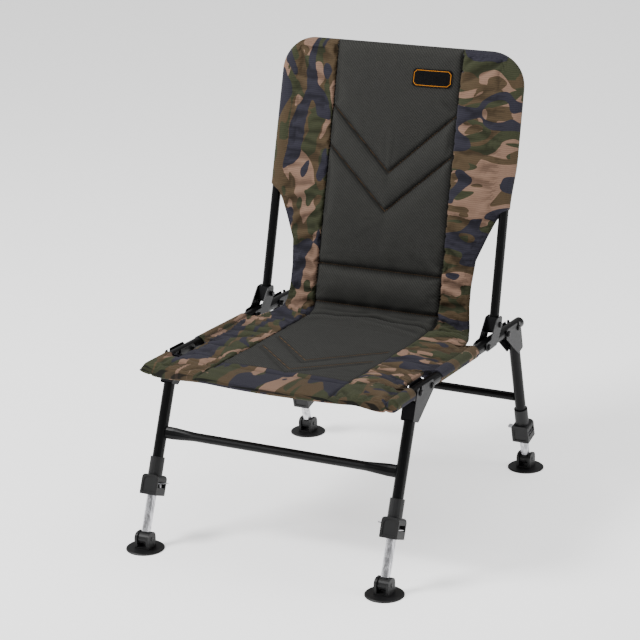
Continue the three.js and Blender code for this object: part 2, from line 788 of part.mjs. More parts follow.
// Back cover
const coverHalf = (s) => {
  if (s > cornerS) return cornerX + Math.sqrt(Math.max(backCornerRadius ** 2 - (s - cornerS) ** 2, 0));
  if (s >= sleeveBottom) return uprightX(s);
  return uprightX(s) - reading(waistInsets, (s - coverBottom) / (sleeveBottom - coverBottom))[0];
};
const coverRows = [
  ...steps(coverBottom, sleeveBottom, waistRowShares),
  ...steps(sleeveBottom, cornerS, coverRowShares),
  ...steps(cornerS, backTubeTop, cornerRowShares),
];
const sleeveRadius = backTubeD / 2 + gap + clothWall;
const sleeveReach = sleeveRadius - coverInsideSleeve;

const coverSheet = sheet(mirrored(backAcross), coverRows, (column, s, face) => {
  const place = Math.abs(column);
  const [front, back] = reading(backThickness, place);
  const top = THREE.MathUtils.clamp((s - cornerS) / backCornerRadius, 0, 1) ** 2;
  const hem = s < sleeveBottom ? between(1, waistHemShare, THREE.MathUtils.clamp(place - 1, 0, 1)) : 1;
  const out = between((face > 0 ? front : back) * hem, sleeveReach, top);
  return vector(Math.sign(column) * acrossAt(place, backPanelHalf, coverHalf(s)), -face * out, s);
});
const [panelFace] = reading(backThickness, 0);
const [panelEdgeFace] = reading(backThickness, 1);
const cover = cut(
  union(coverSheet, sweep(backPath([sleeveBottom]), sleeveRadius, backTubeSides)),
  sweep(backPath([sleeveBottom - channelBelowSleeve, sleeveBottom]), backTubeD / 2 + gap, backTubeSides),
  ...panelSeams(
    backPanelHalf, [coverBottom - cutOverrun, backTubeTop], backChannels, backVees,
    backPanelHalf * backVeeReachShare,
    (x, s) => vector(x, -between(panelFace, panelEdgeFace, Math.abs(x) / backPanelHalf) - seamProud, s),
  ),
);
add('back_cover', placed(cover, backPlace), 'camouflage');

const labelOutline = (() => {
  const [x, s] = [labelAcross, backTubeTop - labelBelowTop];
  const [halfWide, halfTall] = labelSize.map((size) => size / 2);
  return roundedOutline([
    [x - halfWide, s - halfTall, labelRound], [x + halfWide, s - halfTall, labelRound],
    [x + halfWide, s + halfTall, labelRound], [x - halfWide, s + halfTall, labelRound],
  ]);
})();
const labelBack = panelFace + gap;
const label = plateAcrossY(labelOutline, -labelBack - labelThickness, -labelBack);
add('back_label', placed(label, backPlace), 'label');

// Seat cover
const seatFront = (x) => seatFrontMiddleY + seatFrontBow * (x / railHalfSpan) ** 2;

function seatPoint(column, share, face) {
  const x = Math.sign(column) * acrossAt(Math.abs(column), seatPanelHalf, railHalfSpan);
  const y = between(seatFront(x), seatRear, share);
  const sag = seatSag * (1 - (x / railHalfSpan) ** 2) * Math.sin(Math.PI * share);
  const [top, under] = reading(seatThickness, Math.abs(column));
  return vector(x, y, railZ(y) + (face > 0 ? top : under) - sag);
}

const railSleeve = (side, fromY, toY) => {
  const at = (y) => vector(side.x * railHalfSpan, y, railZ(y));
  return rod(at(fromY), at(toY), railD + 2 * gap + 2 * clothWall, railSides);
};
const seatNotch = (side, points) => {
  const outline = points.map(([x, y]) => new THREE.Vector2(side.x * x, y));
  const geometry = new THREE.ExtrudeGeometry(new THREE.Shape(outline), {
    depth: railFrontZ,
    bevelEnabled: false,
  });
  geometry.translate(0, 0, railFrontZ / 2);
  return solidOf(geometry);
};
const wideOfRail = railHalfSpan + railD;
const notchHalf = railHalfSpan - plateOuter - gap - nutHeight - notchRoom;
const frontLean = radians(frontLeanDeg);
const pocketEndY = -(plateOuter + pocketRoom) / Math.cos(frontLean) - railD / 2 * Math.tan(frontLean);
const pocketFrontY = railFrontY - pocketOverhang;
const seat = cut(
  union(
    cut(
      sheet(mirrored(seatAcross), seatRowShares, seatPoint),
      ...sides.flatMap((side) => [
        seatNotch(side, [[notchHalf, pocketEndY], [wideOfRail, pocketEndY], [wideOfRail, notchEndY],
          [notchHalf, notchEndY]]),
        seatNotch(side, [[notchHalf, sleeveEndY], [wideOfRail, sleeveEndY],
          [wideOfRail, seatRear + cutOverrun], [notchHalf - seatRearNarrower, seatRear + cutOverrun]]),
      ]),
    ),
    ...sides.flatMap((side) => [
      railSleeve(side, pocketFrontY, pocketEndY),
      railSleeve(side, notchEndY, sleeveEndY),
    ]),
  ),
  ...sides.map((side) => {
    const at = (y) => vector(side.x * railHalfSpan, y, railZ(y));
    return rod(at(railFrontY - gap), at(sleeveEndY + cutOverrun), railD + 2 * gap, railSides);
  }),
  ...panelSeams(
    seatPanelHalf, [seatPanelFrontY, seatRear + cutOverrun], [seatPanelFrontY], seatVees,
    seatPanelHalf * seatVeeReachShare,
    (x, y) => {
      const share = (y - seatFront(x)) / (seatRear - seatFront(x));
      return vector(x, y, seatPoint(x / seatPanelHalf, share, 1).z + seamProud);
    },
  ),
);
add('seat_cover', seat, 'camouflage');

export default group;
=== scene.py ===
"""Dresses the low folding fishing chair: padded camouflage cover, black tubes, bright inner legs."""

import json
import math

import bpy
import numpy as np
from bpy.props import FloatProperty, FloatVectorProperty, PointerProperty
from mathutils import Matrix, Vector, noise


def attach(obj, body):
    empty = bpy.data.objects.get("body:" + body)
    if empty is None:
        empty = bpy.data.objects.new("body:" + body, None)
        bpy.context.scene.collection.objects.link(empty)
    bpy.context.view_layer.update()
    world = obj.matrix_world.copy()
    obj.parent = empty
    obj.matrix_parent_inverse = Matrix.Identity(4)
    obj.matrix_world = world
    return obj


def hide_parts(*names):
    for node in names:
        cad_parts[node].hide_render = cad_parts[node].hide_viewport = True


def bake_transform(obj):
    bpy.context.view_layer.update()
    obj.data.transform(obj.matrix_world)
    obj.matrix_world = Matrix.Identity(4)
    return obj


bl_info = {
    "name": "Fishing chair",
    "version": (1, 0, 0),
    "blender": (4, 5, 0),
    "location": "View3D > Sidebar > Chair",
    "description": "Dresses the low folding fishing chair and sets its stage",
    "category": "Object",
}

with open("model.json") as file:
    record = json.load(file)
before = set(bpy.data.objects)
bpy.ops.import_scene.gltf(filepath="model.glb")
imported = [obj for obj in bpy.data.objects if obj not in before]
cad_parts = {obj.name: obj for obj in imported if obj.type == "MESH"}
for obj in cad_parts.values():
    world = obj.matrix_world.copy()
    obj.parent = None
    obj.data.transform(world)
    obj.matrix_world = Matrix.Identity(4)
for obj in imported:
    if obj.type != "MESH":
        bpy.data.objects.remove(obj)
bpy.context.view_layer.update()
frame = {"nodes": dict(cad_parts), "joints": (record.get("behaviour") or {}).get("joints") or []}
MM = 0.001

# Places along the chair in millimetres, from where the front legs meet the rails; the frame's zero lies
# CENTRE_Y behind that. Places up the back are measured along the uprights from the rails
CENTRE_Y = 208.537
RAIL_HALF = 255.0
RAIL_FRONT_Z = 350.7
RAIL_DROP = 0.038
RECLINE = math.radians(14.36)
BACK_Y = 369.0
UPRIGHT_LEAN = 0.012
TUBE_TOP = 552.0
CORNER = 58.0
SLEEVE_FROM = 250.0


def rail_z(y):
    """Height of the rails' centre line."""
    return RAIL_FRONT_Z - RAIL_DROP * y


# Shader building

# Places of the colour sockets of a Mix node, whose names repeat
MIX_FACTOR, MIX_FIRST, MIX_SECOND, MIX_RESULT = 0, 6, 7, 2


class Value:
    """A number or colour that varies over a surface: a node's output, with the sums it takes part in."""

    def __init__(self, nodes, socket):
        self.nodes = nodes
        self.socket = socket

    def _math(self, operation, *others, clamp=False):
        return self.nodes.math(operation, self, *others, clamp=clamp)

    def __add__(self, other):
        return self._math("ADD", other)

    __radd__ = __add__

    def __sub__(self, other):
        return self._math("SUBTRACT", other)

    def __rsub__(self, other):
        return self.nodes.math("SUBTRACT", other, self)

    def __mul__(self, other):
        return self._math("MULTIPLY", other)

    __rmul__ = __mul__

    def __truediv__(self, other):
        return self._math("DIVIDE", other)

    def __abs__(self):
        return self._math("ABSOLUTE")

    def sine(self):
        return self._math("SINE")

    def above(self, edge, soft):
        """0 below edge, 1 above it, over a soft stretch."""
        return ((self - edge) / soft + 0.5)._math("ADD", 0.0, clamp=True)

    def below(self, edge, soft):
        return 1.0 - self.above(edge, soft)

    def least(self, other):
        return self._math("MINIMUM", other)

    def most(self, other):
        return self._math("MAXIMUM", other)


class Finish:
    """A material with one Principled shader and the nodes that feed it."""

    def __init__(self, name, colour=(0.5, 0.5, 0.5), roughness=0.5, metallic=0.0, **constants):
        self.material = bpy.data.materials.new(name)
        self.material.use_nodes = True
        self.tree = self.material.node_tree
        self.shader = self.tree.nodes["Principled BSDF"]
        self.set("Base Color", (*colour, 1.0))
        self.set("Roughness", roughness)
        self.set("Metallic", metallic)
        for socket, value in constants.items():
            self.set(socket.replace("_", " "), value)

    def set(self, socket, value):
        target = self.shader.inputs[socket]
        if isinstance(value, Value):
            self.tree.links.new(value.socket, target)
        else:
            target.default_value = value

    def node(self, kind, settings=None, inputs=None, output=0):
        """Any node: its settings first, then the values or links of its sockets."""
        made = self.tree.nodes.new(kind)
        for name, value in (settings or {}).items():
            setattr(made, name, value)
        for key, value in (inputs or {}).items():
            if isinstance(value, Value):
                self.tree.links.new(value.socket, made.inputs[key])
            else:
                made.inputs[key].default_value = value
        return Value(self, made.outputs[output])

    def math(self, operation, *values, clamp=False):
        settings = {"operation": operation, "use_clamp": clamp}
        return self.node("ShaderNodeMath", settings, dict(enumerate(values)))

    def position(self):
        return self.node("ShaderNodeTexCoord", output="Object")

    def attribute(self, name):
        return self.node("ShaderNodeAttribute", {"attribute_name": name}, output="Fac")

    def uv_map(self, name):
        return self.node("ShaderNodeUVMap", {"uv_map": name})

    def part(self, vector, axis):
        return self.node("ShaderNodeSeparateXYZ", inputs={0: vector}, output=axis)

    def mapped(self, vector, scale=(1, 1, 1), location=(0, 0, 0), rotation=(0, 0, 0)):
        return self.node("ShaderNodeMapping", inputs={
            "Vector": vector, "Scale": scale, "Location": location, "Rotation": rotation})

    def grain(self, vector, scale, detail=2.0, roughness=0.5, distortion=0.0):
        return self.node("ShaderNodeTexNoise", inputs={
            "Vector": vector, "Scale": scale, "Detail": detail, "Roughness": roughness,
            "Distortion": distortion})

    def blend(self, mask, first, second):
        """first where mask is 0, second where it is 1; colours are tuples or links."""
        inputs = {MIX_FACTOR: mask}
        for socket, colour in ((MIX_FIRST, first), (MIX_SECOND, second)):
            inputs[socket] = colour if isinstance(colour, Value) else (*colour[:3], 1.0)
        return self.node("ShaderNodeMix", {"data_type": "RGBA"}, inputs, MIX_RESULT)

    def bump(self, height, distance, strength=1.0, under=None):
        inputs = {"Height": height, "Distance": distance, "Strength": strength}
        if under is not None:
            inputs["Normal"] = under
        return self.node("ShaderNodeBump", inputs=inputs)


def shade(colour, amount):
    """The same colour, darker or lighter."""
    return tuple(min(1.0, channel * amount) for channel in colour[:3])


def srgb(red, green, blue):
    """A colour given in 0 to 255 as a screen shows it, made linear by the sRGB curve."""
    return tuple(c / 255 / 12.92 if c <= 10 else ((c / 255 + 0.055) / 1.055) ** 2.4
                 for c in (red, green, blue))


# What a user would change


def colour_property(name, description, default):
    return FloatVectorProperty(
        name=name, description=description, default=default, min=0, max=1, size=3, subtype="COLOR")


def length_property(name, description, default):
    return FloatProperty(
        name=name, description=description, default=default, min=0, unit="LENGTH", precision=4)


def share_property(name, description, default, most=1.0):
    return FloatProperty(
        name=name, description=description, default=default, min=0, max=most, subtype="FACTOR")


def strength_property(name, description, default):
    return FloatProperty(name=name, description=description, default=default, min=0)


class CoverSettings(bpy.types.PropertyGroup):
    puff: length_property("Puff", "How far the padding rises between two seams", 0.0062)
    groove: length_property("Groove", "How deep a seam sits in the padding", 0.0055)
    sag: length_property("Sag", "How far the seat hangs between the rails", 0.004)
    lip: length_property("Lip", "How far the front edge hangs below the rails' line", 0.0066)
    wrinkle: length_property("Wrinkle", "Height of the loose folds in the side panels", 0.0028)
    seat_share: share_property("Seat share", "Quilting of the seat against that of the back", 0.32)
    looseness: share_property("Looseness", "How much longer than its seams the side cloth is cut", 0.09, 0.2)
    swell: strength_property("Swell", "Pressure of the padding in the simulation", 4.0)
    swell_cap: length_property("Swell cap", "How far the simulation may move a point", 0.006)
    tan: colour_property("Tan", "Lightest shape of the camouflage", srgb(113, 90, 76))
    brown: colour_property("Brown", "Ground of the camouflage", srgb(68, 56, 41))
    green: colour_property("Green", "Green shape of the camouflage", srgb(49, 51, 36))
    navy: colour_property("Navy", "Darkest shape of the camouflage", srgb(39, 38, 46))
    panel: colour_property("Panel", "Plain cloth of the middle panel", srgb(43, 43, 41))
    thread: colour_property("Thread", "Sewing thread of the quilted lines", srgb(104, 76, 42))
    edging: colour_property("Edging", "Line along the edge of the sewn patch", srgb(214, 134, 34))


class FrameSettings(bpy.types.PropertyGroup):
    tube: colour_property("Tube", "Paint of the tubes", srgb(3, 3, 4))
    plate: colour_property("Plate", "Coating of the pressed plates", srgb(13, 13, 15))
    plastic: colour_property("Plastic", "Moulded feet, knuckles and lock housings", srgb(13, 13, 14))
    bright: colour_property("Bright", "Bare galvanised metal", srgb(226, 226, 230))


class StageSettings(bpy.types.PropertyGroup):
    floor: colour_property("Floor", "Colour of the floor", srgb(250, 250, 250))
    glow: strength_property("Glow", "Light of the floor's own, as of a lit table", 0.95)
    surround: strength_property("Surround", "Strength of the light all round", 0.4)
    key: strength_property("Key", "Strength of the large lamp at the front", 185.0)


# The cover's shape, in millimetres: x across, and along from the front edge over the fold to the top.
# y is the same place counted along the chair, s counted up the back
SEAT_CORNER_Y = -102.0
SEAT_MIDDLE_Y = -126.0
PANEL_HALF = 137.0
NOTCH_HALF = 231.0
SLEEVE_CREASE = 245.0
POCKET_END = -20.35
NOTCH_END = 100.0
SLEEVE_END = 276.0
FRONT_SEAM = -22.0
RAIL_SLEEVE = 12.4
CORNER_TAPER = {"left": 14.0, "right": 5.0}
CORNER_REACH = {"left": 6.0, "right": -3.0}
POCKET_DROP = 11.5
POCKET_DROP_FROM = {"left": 110.0, "right": 180.0}
RIGHT_BULGE = 7.0
TUBE_SLEEVE = 12.0

# The bend between seat and back, and the lengths of cloth before, in and after it
FOLD_RADIUS = 40.0
DROP_ANGLE = math.atan(RAIL_DROP)
TURN = math.pi / 2 - RECLINE + DROP_ANGLE
RUN_IN = FOLD_RADIUS * math.tan(TURN / 2)
FOLD_Y = BACK_Y - RUN_IN
SEAT_LONG = FOLD_Y - SEAT_CORNER_Y
FOLD_LONG = FOLD_RADIUS * TURN
BACK_ALONG = SEAT_LONG + FOLD_LONG - RUN_IN
COVER_LONG = BACK_ALONG + TUBE_TOP + TUBE_SLEEVE
CORNER_S = TUBE_TOP - CORNER

# Quilted lines: chevrons by the places of tip and arm ends and how far out those are, and channels
SEAT_VEES = ((-6.0, 110.0, 120.0), (58.0, 178.0, 120.0))
BACK_VEES = ((306.0, 430.0, 134.0), (228.0, 350.0, 134.0))
CHANNELS = (31.0, 109.0)

# The crease lies just behind the start of the fold, in waves by height, length and shift
CREASE_AFTER = 2.0
CREASE_WAVES = ((6.0, 41.0, 0.6), (4.0, 17.0, 1.1))

# Edge of the cover: its half width between the rails' sleeves and the fold, by place along the seat,
# and how far it lies inside the uprights, by place up the back, to where the bag round the tube starts
BAG_FROM = 262.0
WAIST = ((SLEEVE_END - 45, 231), (SLEEVE_END + 20, 229), (FOLD_Y, 219))
EDGE_INSET = (
    (-20, 37), (2, 45), (29, 52), (59, 55), (99, 55), (151, 50), (200, 30),
    (232, 15.5), (246, 7), (257, -9), (BAG_FROM, -TUBE_SLEEVE))

# Surfaces of the seat and the back as heights off the tubes' plane, from the middle of the cover (0)
# over the side seam (1) to the tube (2)
SEAT_TOP = (
    (0, 12.5), (0.6, 12.3), (0.92, 11.3), (1, 10.6), (1.1, 10.6), (1.5, 10.6),
    (1.75, 8.6), (1.9, 5.6), (2, 5))
SEAT_UNDER = ((0, 0), (0.9, 0.4), (1.1, 1.6), (1.44, 4), (1.75, 6.6), (1.85, 4), (2, 0))
BACK_FRONT = ((0, 12.8), (0.6, 12.4), (0.92, 11.2), (1, 10.4), (1.2, 9.8), (1.7, 10.4), (2, 12))
BACK_REAR = ((0, 8), (1.3, 8.4), (1.7, 9.5), (2, 12))

# Hems and front corners of the cover
SIDE_HEM = 3.5
FRONT_HEM = 6.0
BACK_HEM = 4.5
HEM_LOWERED = 0.42
SLEEVE_EASE = 8.0
CORNER_BLUNT = 0.1
CORNER_SWEEP = 0.8
TIP_PAST = 3.0
TIP_LONG = 42.0
TIP_SWEEP = 0.85
FRONT_SLACK = 1.5
FRONT_SLACK_AT = 150.0
FRONT_SLACK_WIDE = 60.0
LIP_DEEP = 55.0
TUBE_HOLD = 34.0
BAG_EASE = 37.0
WAIST_EASE = 42.0
WAIST_THINNED = 0.5
BULGE_EASE = 98.0
POCKET_EASE = (10.0, 60.0)
TIGHT_EASE = 30.0

# How firmly seams and the fold hold the face while the padding swells, and how wide
SEWN_WIDE = 4.0
SEWN_PAST = 6.0
FOLD_HELD = 0.3
FOLD_HELD_WIDE = 40.0

# Padding between the seams, the roll above the fold and its two stitched channels
PUFF_WIDE = 15.0
PUFF_SWEEP = 1.15
SIDE_PUFF = 0.62
GROOVE_WIDE = 3.2
ROLL_HIGH = 4.5
ROLL_AT = 70.0
ROLL_WIDE = 26.0
CHANNEL_DEEP = 3.0
CHANNEL_WIDE = 4.5

# Crease between seat and back, and the tuck ahead of it on the seat
CREASE_DEEP = 9.0
CREASE_WIDE = 4.6
BUNCH_BEHIND = 4.6
BUNCH_AHEAD = 3.6
CREASE_UNEVEN = (0.75, 0.35, 29.0, 2.0)
BUNCH_BEHIND_AT = (15.0, 8.0)
BUNCH_AHEAD_AT = (-13.0, 8.0)
SEAT_TUCK = (60.0, 34.0)
TUCK_HIGH = 3.4
TUCK_LONG = 70.0
TUCK_WIDE = 5.0
TUCK_SLANT = 0.16

# Loose folds: their heights as shares of the Wrinkle setting, the lengths of their waves, and where
# each kind is strongest with how far it reaches
FOLD_SHARES = {"tall": 1.5, "fine": 0.6, "gathered": 1.9, "drawn": 1.5, "pulled": 0.8}
GATHERED_LONG = 4.3
DRAWN_LONG = 7.1
PULLED_LONG = 8.5
BROAD_AT = (60.0, 150.0)
BROAD_ELSEWHERE = 0.35
GATHERED_AT = (40.0, 95.0)
GATHERED_ABOVE_AT = (300.0, 160.0)
GATHERED_REACH = 26.0
DRAWN_AT = (90.0, 110.0)
DRAWN_REACH = 30.0
PULLED_AT = (45.0, 75.0)
PANEL_FOLDS = 0.35

# Net of the cover: rows along it, and columns across it that crowd towards its edges
HEM_ROWS = (0, 0.25, 1, 2.2, 4, 6, 8, 11)
SEAT_ROWS_FROM = 15.0
SEAT_STEP = 4.4
BACK_STEP = 4.2
ARC_ROWS = 26
ARC_START = 8.0
STEP_GAP = 0.35
STEP_ROOM = 1.5
MIDDLE_REACH = 150.0
COLUMN_STEP = 4.0
OUTER_COLUMNS = 34
CROWDING = 1.7
NARROW_MARGIN = 40.0


def upright_x(s):
    """Distance of the uprights' centre lines from the middle, by place up the back."""
    return RAIL_HALF - UPRIGHT_LEAN * s


def smooth(low, high, at):
    """0 at low, 1 at high, with a soft start and end."""
    t = np.clip((at - low) / (high - low), 0, 1)
    return t * t * (3 - 2 * t)


def hump(at, middle, width):
    """1 at the middle, falling off smoothly to almost nothing at twice the width."""
    return np.exp(-((at - middle) / width) ** 2)


def reading(pairs, at):
    """A value read off a curve of straight stretches."""
    return np.interp(at, *zip(*pairs))


def by_side(x, pair):
    """The left or the right value of a pair, by the side that each point is on."""
    return np.where(x < 0, pair["left"], pair["right"])


def cover_half(along):
    """Half the cover's width at a place along it."""
    y = along + SEAT_CORNER_Y
    s = along - BACK_ALONG
    if y < POCKET_END or NOTCH_END < y < SLEEVE_END:
        return RAIL_HALF + RAIL_SLEEVE
    if y < SLEEVE_END:
        return NOTCH_HALF
    if y < FOLD_Y:
        return float(reading(WAIST, y))
    if s < BAG_FROM:
        return float(upright_x(s) - reading(EDGE_INSET, s))
    if s < CORNER_S:
        return float(upright_x(s) + TUBE_SLEEVE)
    reach = CORNER + TUBE_SLEEVE
    return float(upright_x(CORNER_S) - CORNER + math.sqrt(max(0.0, reach ** 2 - (s - CORNER_S) ** 2)))


def stations():
    """Places along the cover with the half width there; a sleeve's end has two, close together."""
    top = CORNER + TUBE_SLEEVE
    marks = [*HEM_ROWS, *np.arange(SEAT_ROWS_FROM, SEAT_LONG, SEAT_STEP)]
    marks += list(np.arange(SEAT_LONG, COVER_LONG - (top - ARC_START), BACK_STEP))
    turns = np.linspace(math.asin(ARC_START / top), math.pi / 2, ARC_ROWS)
    marks += [COVER_LONG - top + top * math.sin(turn) for turn in turns]
    ends = [y - SEAT_CORNER_Y for y in (POCKET_END, NOTCH_END, SLEEVE_END)]
    marks = [mark for mark in marks if all(abs(mark - end) > STEP_ROOM for end in ends)]
    for end in ends:
        marks += [end - STEP_GAP, end + STEP_GAP]
    marks = sorted(marks)
    return np.array(marks), np.array([cover_half(mark) for mark in marks])


def seam_distance(x, y, s):
    """Distance from the nearest quilted line of the middle panel."""
    ax = np.abs(x)
    inside = ax < PANEL_HALF
    found = np.abs(ax - PANEL_HALF)
    for place, vees in ((y, SEAT_VEES), (s, BACK_VEES)):
        for tip, arm, reach in vees:
            slope = (arm - tip) / reach
            line = np.abs(place - tip - slope * ax) / math.hypot(1, slope)
            beyond = np.hypot(ax - reach, place - arm)
            found = np.where(inside, np.minimum(found, np.where(ax < reach, line, beyond)), found)
    for place in CHANNELS:
        found = np.where(inside, np.minimum(found, np.abs(s - place)), found)
    return np.where(inside, np.minimum(found, np.abs(y - FRONT_SEAM)), found)


def field(points, scale, seed):
    """Smooth noise at points, between about -1 and 1."""
    return np.array([noise.noise(Vector((a * scale, b * scale, seed))) for a, b in points])


def cover_places():
    """Rows and columns of the cover's net: along, half width, across."""
    along, half = stations()
    middle = np.arange(-MIDDLE_REACH, MIDDLE_REACH + 1, COLUMN_STEP)
    steps = 1 - (1 - np.linspace(0, 1, OUTER_COLUMNS + 1)[1:]) ** CROWDING
    outer = middle[-1] + np.outer(half - middle[-1], steps)
    outer = np.maximum(outer, middle[-1] + steps)
    across = np.hstack([-outer[:, ::-1], np.repeat(middle[None, :], len(along), 0), outer])
    narrow = half < middle[-1] + NARROW_MARGIN
    across[narrow] = np.outer(half[narrow], across[0] / across[0, -1])
    return along, half, across


def round_edge(distance, radius):
    """Share of the full thickness at a distance in from an edge that is rounded to this radius."""
    t = 1 - np.clip(distance / radius, 0, 1)
    return np.sqrt(np.maximum(0, 1 - t * t))


def seat_heights(x, y, along, half, settings):
    """Face and underside of the seat: a sheet over the rails, with sleeves that close under them."""
    ax = np.abs(x)
    u = np.where(ax < PANEL_HALF, ax / PANEL_HALF, 1 + (ax - PANEL_HALF) / (RAIL_HALF - PANEL_HALF))
    face, under = reading(SEAT_TOP, u), reading(SEAT_UNDER, u)
    beyond = ax - RAIL_HALF
    sleeved = half > RAIL_HALF
    on_rail = sleeved & (beyond > -RAIL_SLEEVE)
    ring = np.sqrt(np.maximum(0, RAIL_SLEEVE ** 2 - beyond ** 2))
    tight = (x < 0) * (y < POCKET_END) * RAIL_SLEEVE * smooth(POCKET_END + 1, POCKET_END - TIGHT_EASE, y)
    level = np.maximum(face, tight)
    face = np.where(sleeved, np.where(beyond > 0, ring, np.maximum(level, ring)), face)
    under = np.where(on_rail, -ring, under)
    under = np.where(sleeved & ~on_rail, under * smooth(0, SLEEVE_EASE, -beyond - RAIL_SLEEVE), under)
    pocket = 1 - smooth(POCKET_END + POCKET_EASE[0], POCKET_END + POCKET_EASE[1], y)
    lining = -POCKET_DROP * smooth(by_side(x, POCKET_DROP_FROM), RAIL_HALF - RAIL_SLEEVE, ax) * pocket
    under = np.where(on_rail, under, np.minimum(under, lining))
    hem = np.where(sleeved, 1, round_edge(half - ax, SIDE_HEM))
    centre = (face + under) / 2
    face, under = centre + (face - centre) * hem, centre + (under - centre) * hem
    # The front hem is round in the middle and drawn out to a point at both corners
    lip = smooth(RAIL_HALF - 40, RAIL_HALF - 10, ax)
    taper = np.clip(CORNER_BLUNT + along / by_side(x, CORNER_TAPER), 0, 1) ** CORNER_SWEEP
    front = round_edge(along, FRONT_HEM) * (1 - lip) + taper * lip
    meet = under + (face - under) * (0.5 - HEM_LOWERED * smooth(90, RAIL_HALF - 20, ax))
    tip = -POCKET_DROP * np.clip((RAIL_HALF + RAIL_SLEEVE + TIP_PAST - ax) / TIP_LONG, 0, 1) ** TIP_SWEEP
    meet = np.where(x < 0, np.maximum(meet, tip), meet)
    face, under = meet + (face - meet) * front, meet + (under - meet) * front
    slack = FRONT_SLACK * np.exp(-((x - FRONT_SLACK_AT) / FRONT_SLACK_WIDE) ** 2 - along / FRONT_SLACK_WIDE)
    sag = slack + (1 - np.clip(ax / RAIL_HALF, 0, 1) ** 2) * (
        settings.sag / MM * np.sin(np.pi * np.clip(along / (SEAT_LONG + 20), 0, 1))
        + settings.lip / MM * np.exp(-along / LIP_DEEP))
    return face - sag, under - sag


def back_heights(ax, s, half):
    """Front and rear of the back: a bag over the backrest's tube."""
    room = np.maximum(half - PANEL_HALF - TUBE_SLEEVE * (s > SLEEVE_FROM), 20)
    u = np.where(ax < PANEL_HALF, ax / PANEL_HALF, 1 + (ax - PANEL_HALF) / room)
    corner_x = upright_x(CORNER_S) - CORNER
    corner = np.hypot(np.maximum(ax - corner_x, 0), np.maximum(s - CORNER_S, 0)) - CORNER
    out = np.where(s > CORNER_S, np.where(ax > corner_x, corner, s - TUBE_TOP), ax - upright_x(s))
    held = smooth(-TUBE_HOLD, 0, out) * smooth(BAG_FROM - BAG_EASE, BAG_FROM, s)
    rim = np.where(s > BAG_FROM, np.sqrt(np.maximum(0, 1 - np.clip(out / TUBE_SLEEVE, 0, 1) ** 2)),
                   round_edge(half - ax, BACK_HEM))
    below_bag = 1 - smooth(BAG_FROM - WAIST_EASE, BAG_FROM, s)
    waist = 1 - WAIST_THINNED * smooth(PANEL_HALF, half, ax) * below_bag
    heights = [reading(side, u) * (1 - held) + TUBE_SLEEVE * held for side in (BACK_FRONT, BACK_REAR)]
    return [height * rim * waist for height in heights]


def cover_heights(x, y, s, along, half, settings):
    """How far the face and the back of the cover stand from the plane of the tubes."""
    to_back = smooth(SEAT_LONG - 10, SEAT_LONG + FOLD_LONG, along)
    face, under = seat_heights(x, y, along, half, settings)
    front_face, rear_face = back_heights(np.abs(x), s, half)
    return face * (1 - to_back) + front_face * to_back, under * (1 - to_back) - rear_face * to_back


def padding(x, y, s, along, settings):
    """The filled fields of the cover, the seams between them and the roll above the fold."""
    lifted = settings.seat_share + (1 - settings.seat_share) * smooth(SEAT_LONG - 70, SEAT_LONG, along)
    puff, groove = settings.puff / MM * lifted, settings.groove / MM * lifted
    inside = np.abs(x) < PANEL_HALF
    distance = seam_distance(x, y, s)
    rise = 1 - np.exp(-(distance / PUFF_WIDE) ** PUFF_SWEEP)
    roll = ROLL_HIGH * hump(s, ROLL_AT, ROLL_WIDE)
    height = np.where(inside, (puff + roll) * rise, SIDE_PUFF * puff * rise)
    channel = np.minimum(np.abs(s - CHANNELS[0]), np.abs(s - CHANNELS[1]))
    height = height - groove * hump(distance, 0, GROOVE_WIDE)
    return height - CHANNEL_DEEP * inside * hump(channel, 0, CHANNEL_WIDE)


def fold_crease(x, along):
    """The wavy crease between seat and back, with cloth bunched on both sides and once on the seat."""
    line = SEAT_LONG + CREASE_AFTER
    for high, length, shift in CREASE_WAVES:
        line = line + high * np.sin(x / length + shift)
    off = along - line
    mean, swing, length, shift = CREASE_UNEVEN
    deep = mean + swing * np.sin(x / length + shift)
    crease = -CREASE_DEEP * deep * hump(off, 0, CREASE_WIDE)
    crease = crease + BUNCH_BEHIND * deep * hump(off, *BUNCH_BEHIND_AT)
    crease = crease + BUNCH_AHEAD * deep * hump(off, *BUNCH_AHEAD_AT)
    tuck_x, tuck_ahead = SEAT_TUCK
    slanted = along - SEAT_LONG + tuck_ahead + TUCK_SLANT * (x - tuck_x)
    return crease + TUCK_HIGH * np.exp(-((x - tuck_x) / TUCK_LONG) ** 2 - (slanted / TUCK_WIDE) ** 2)


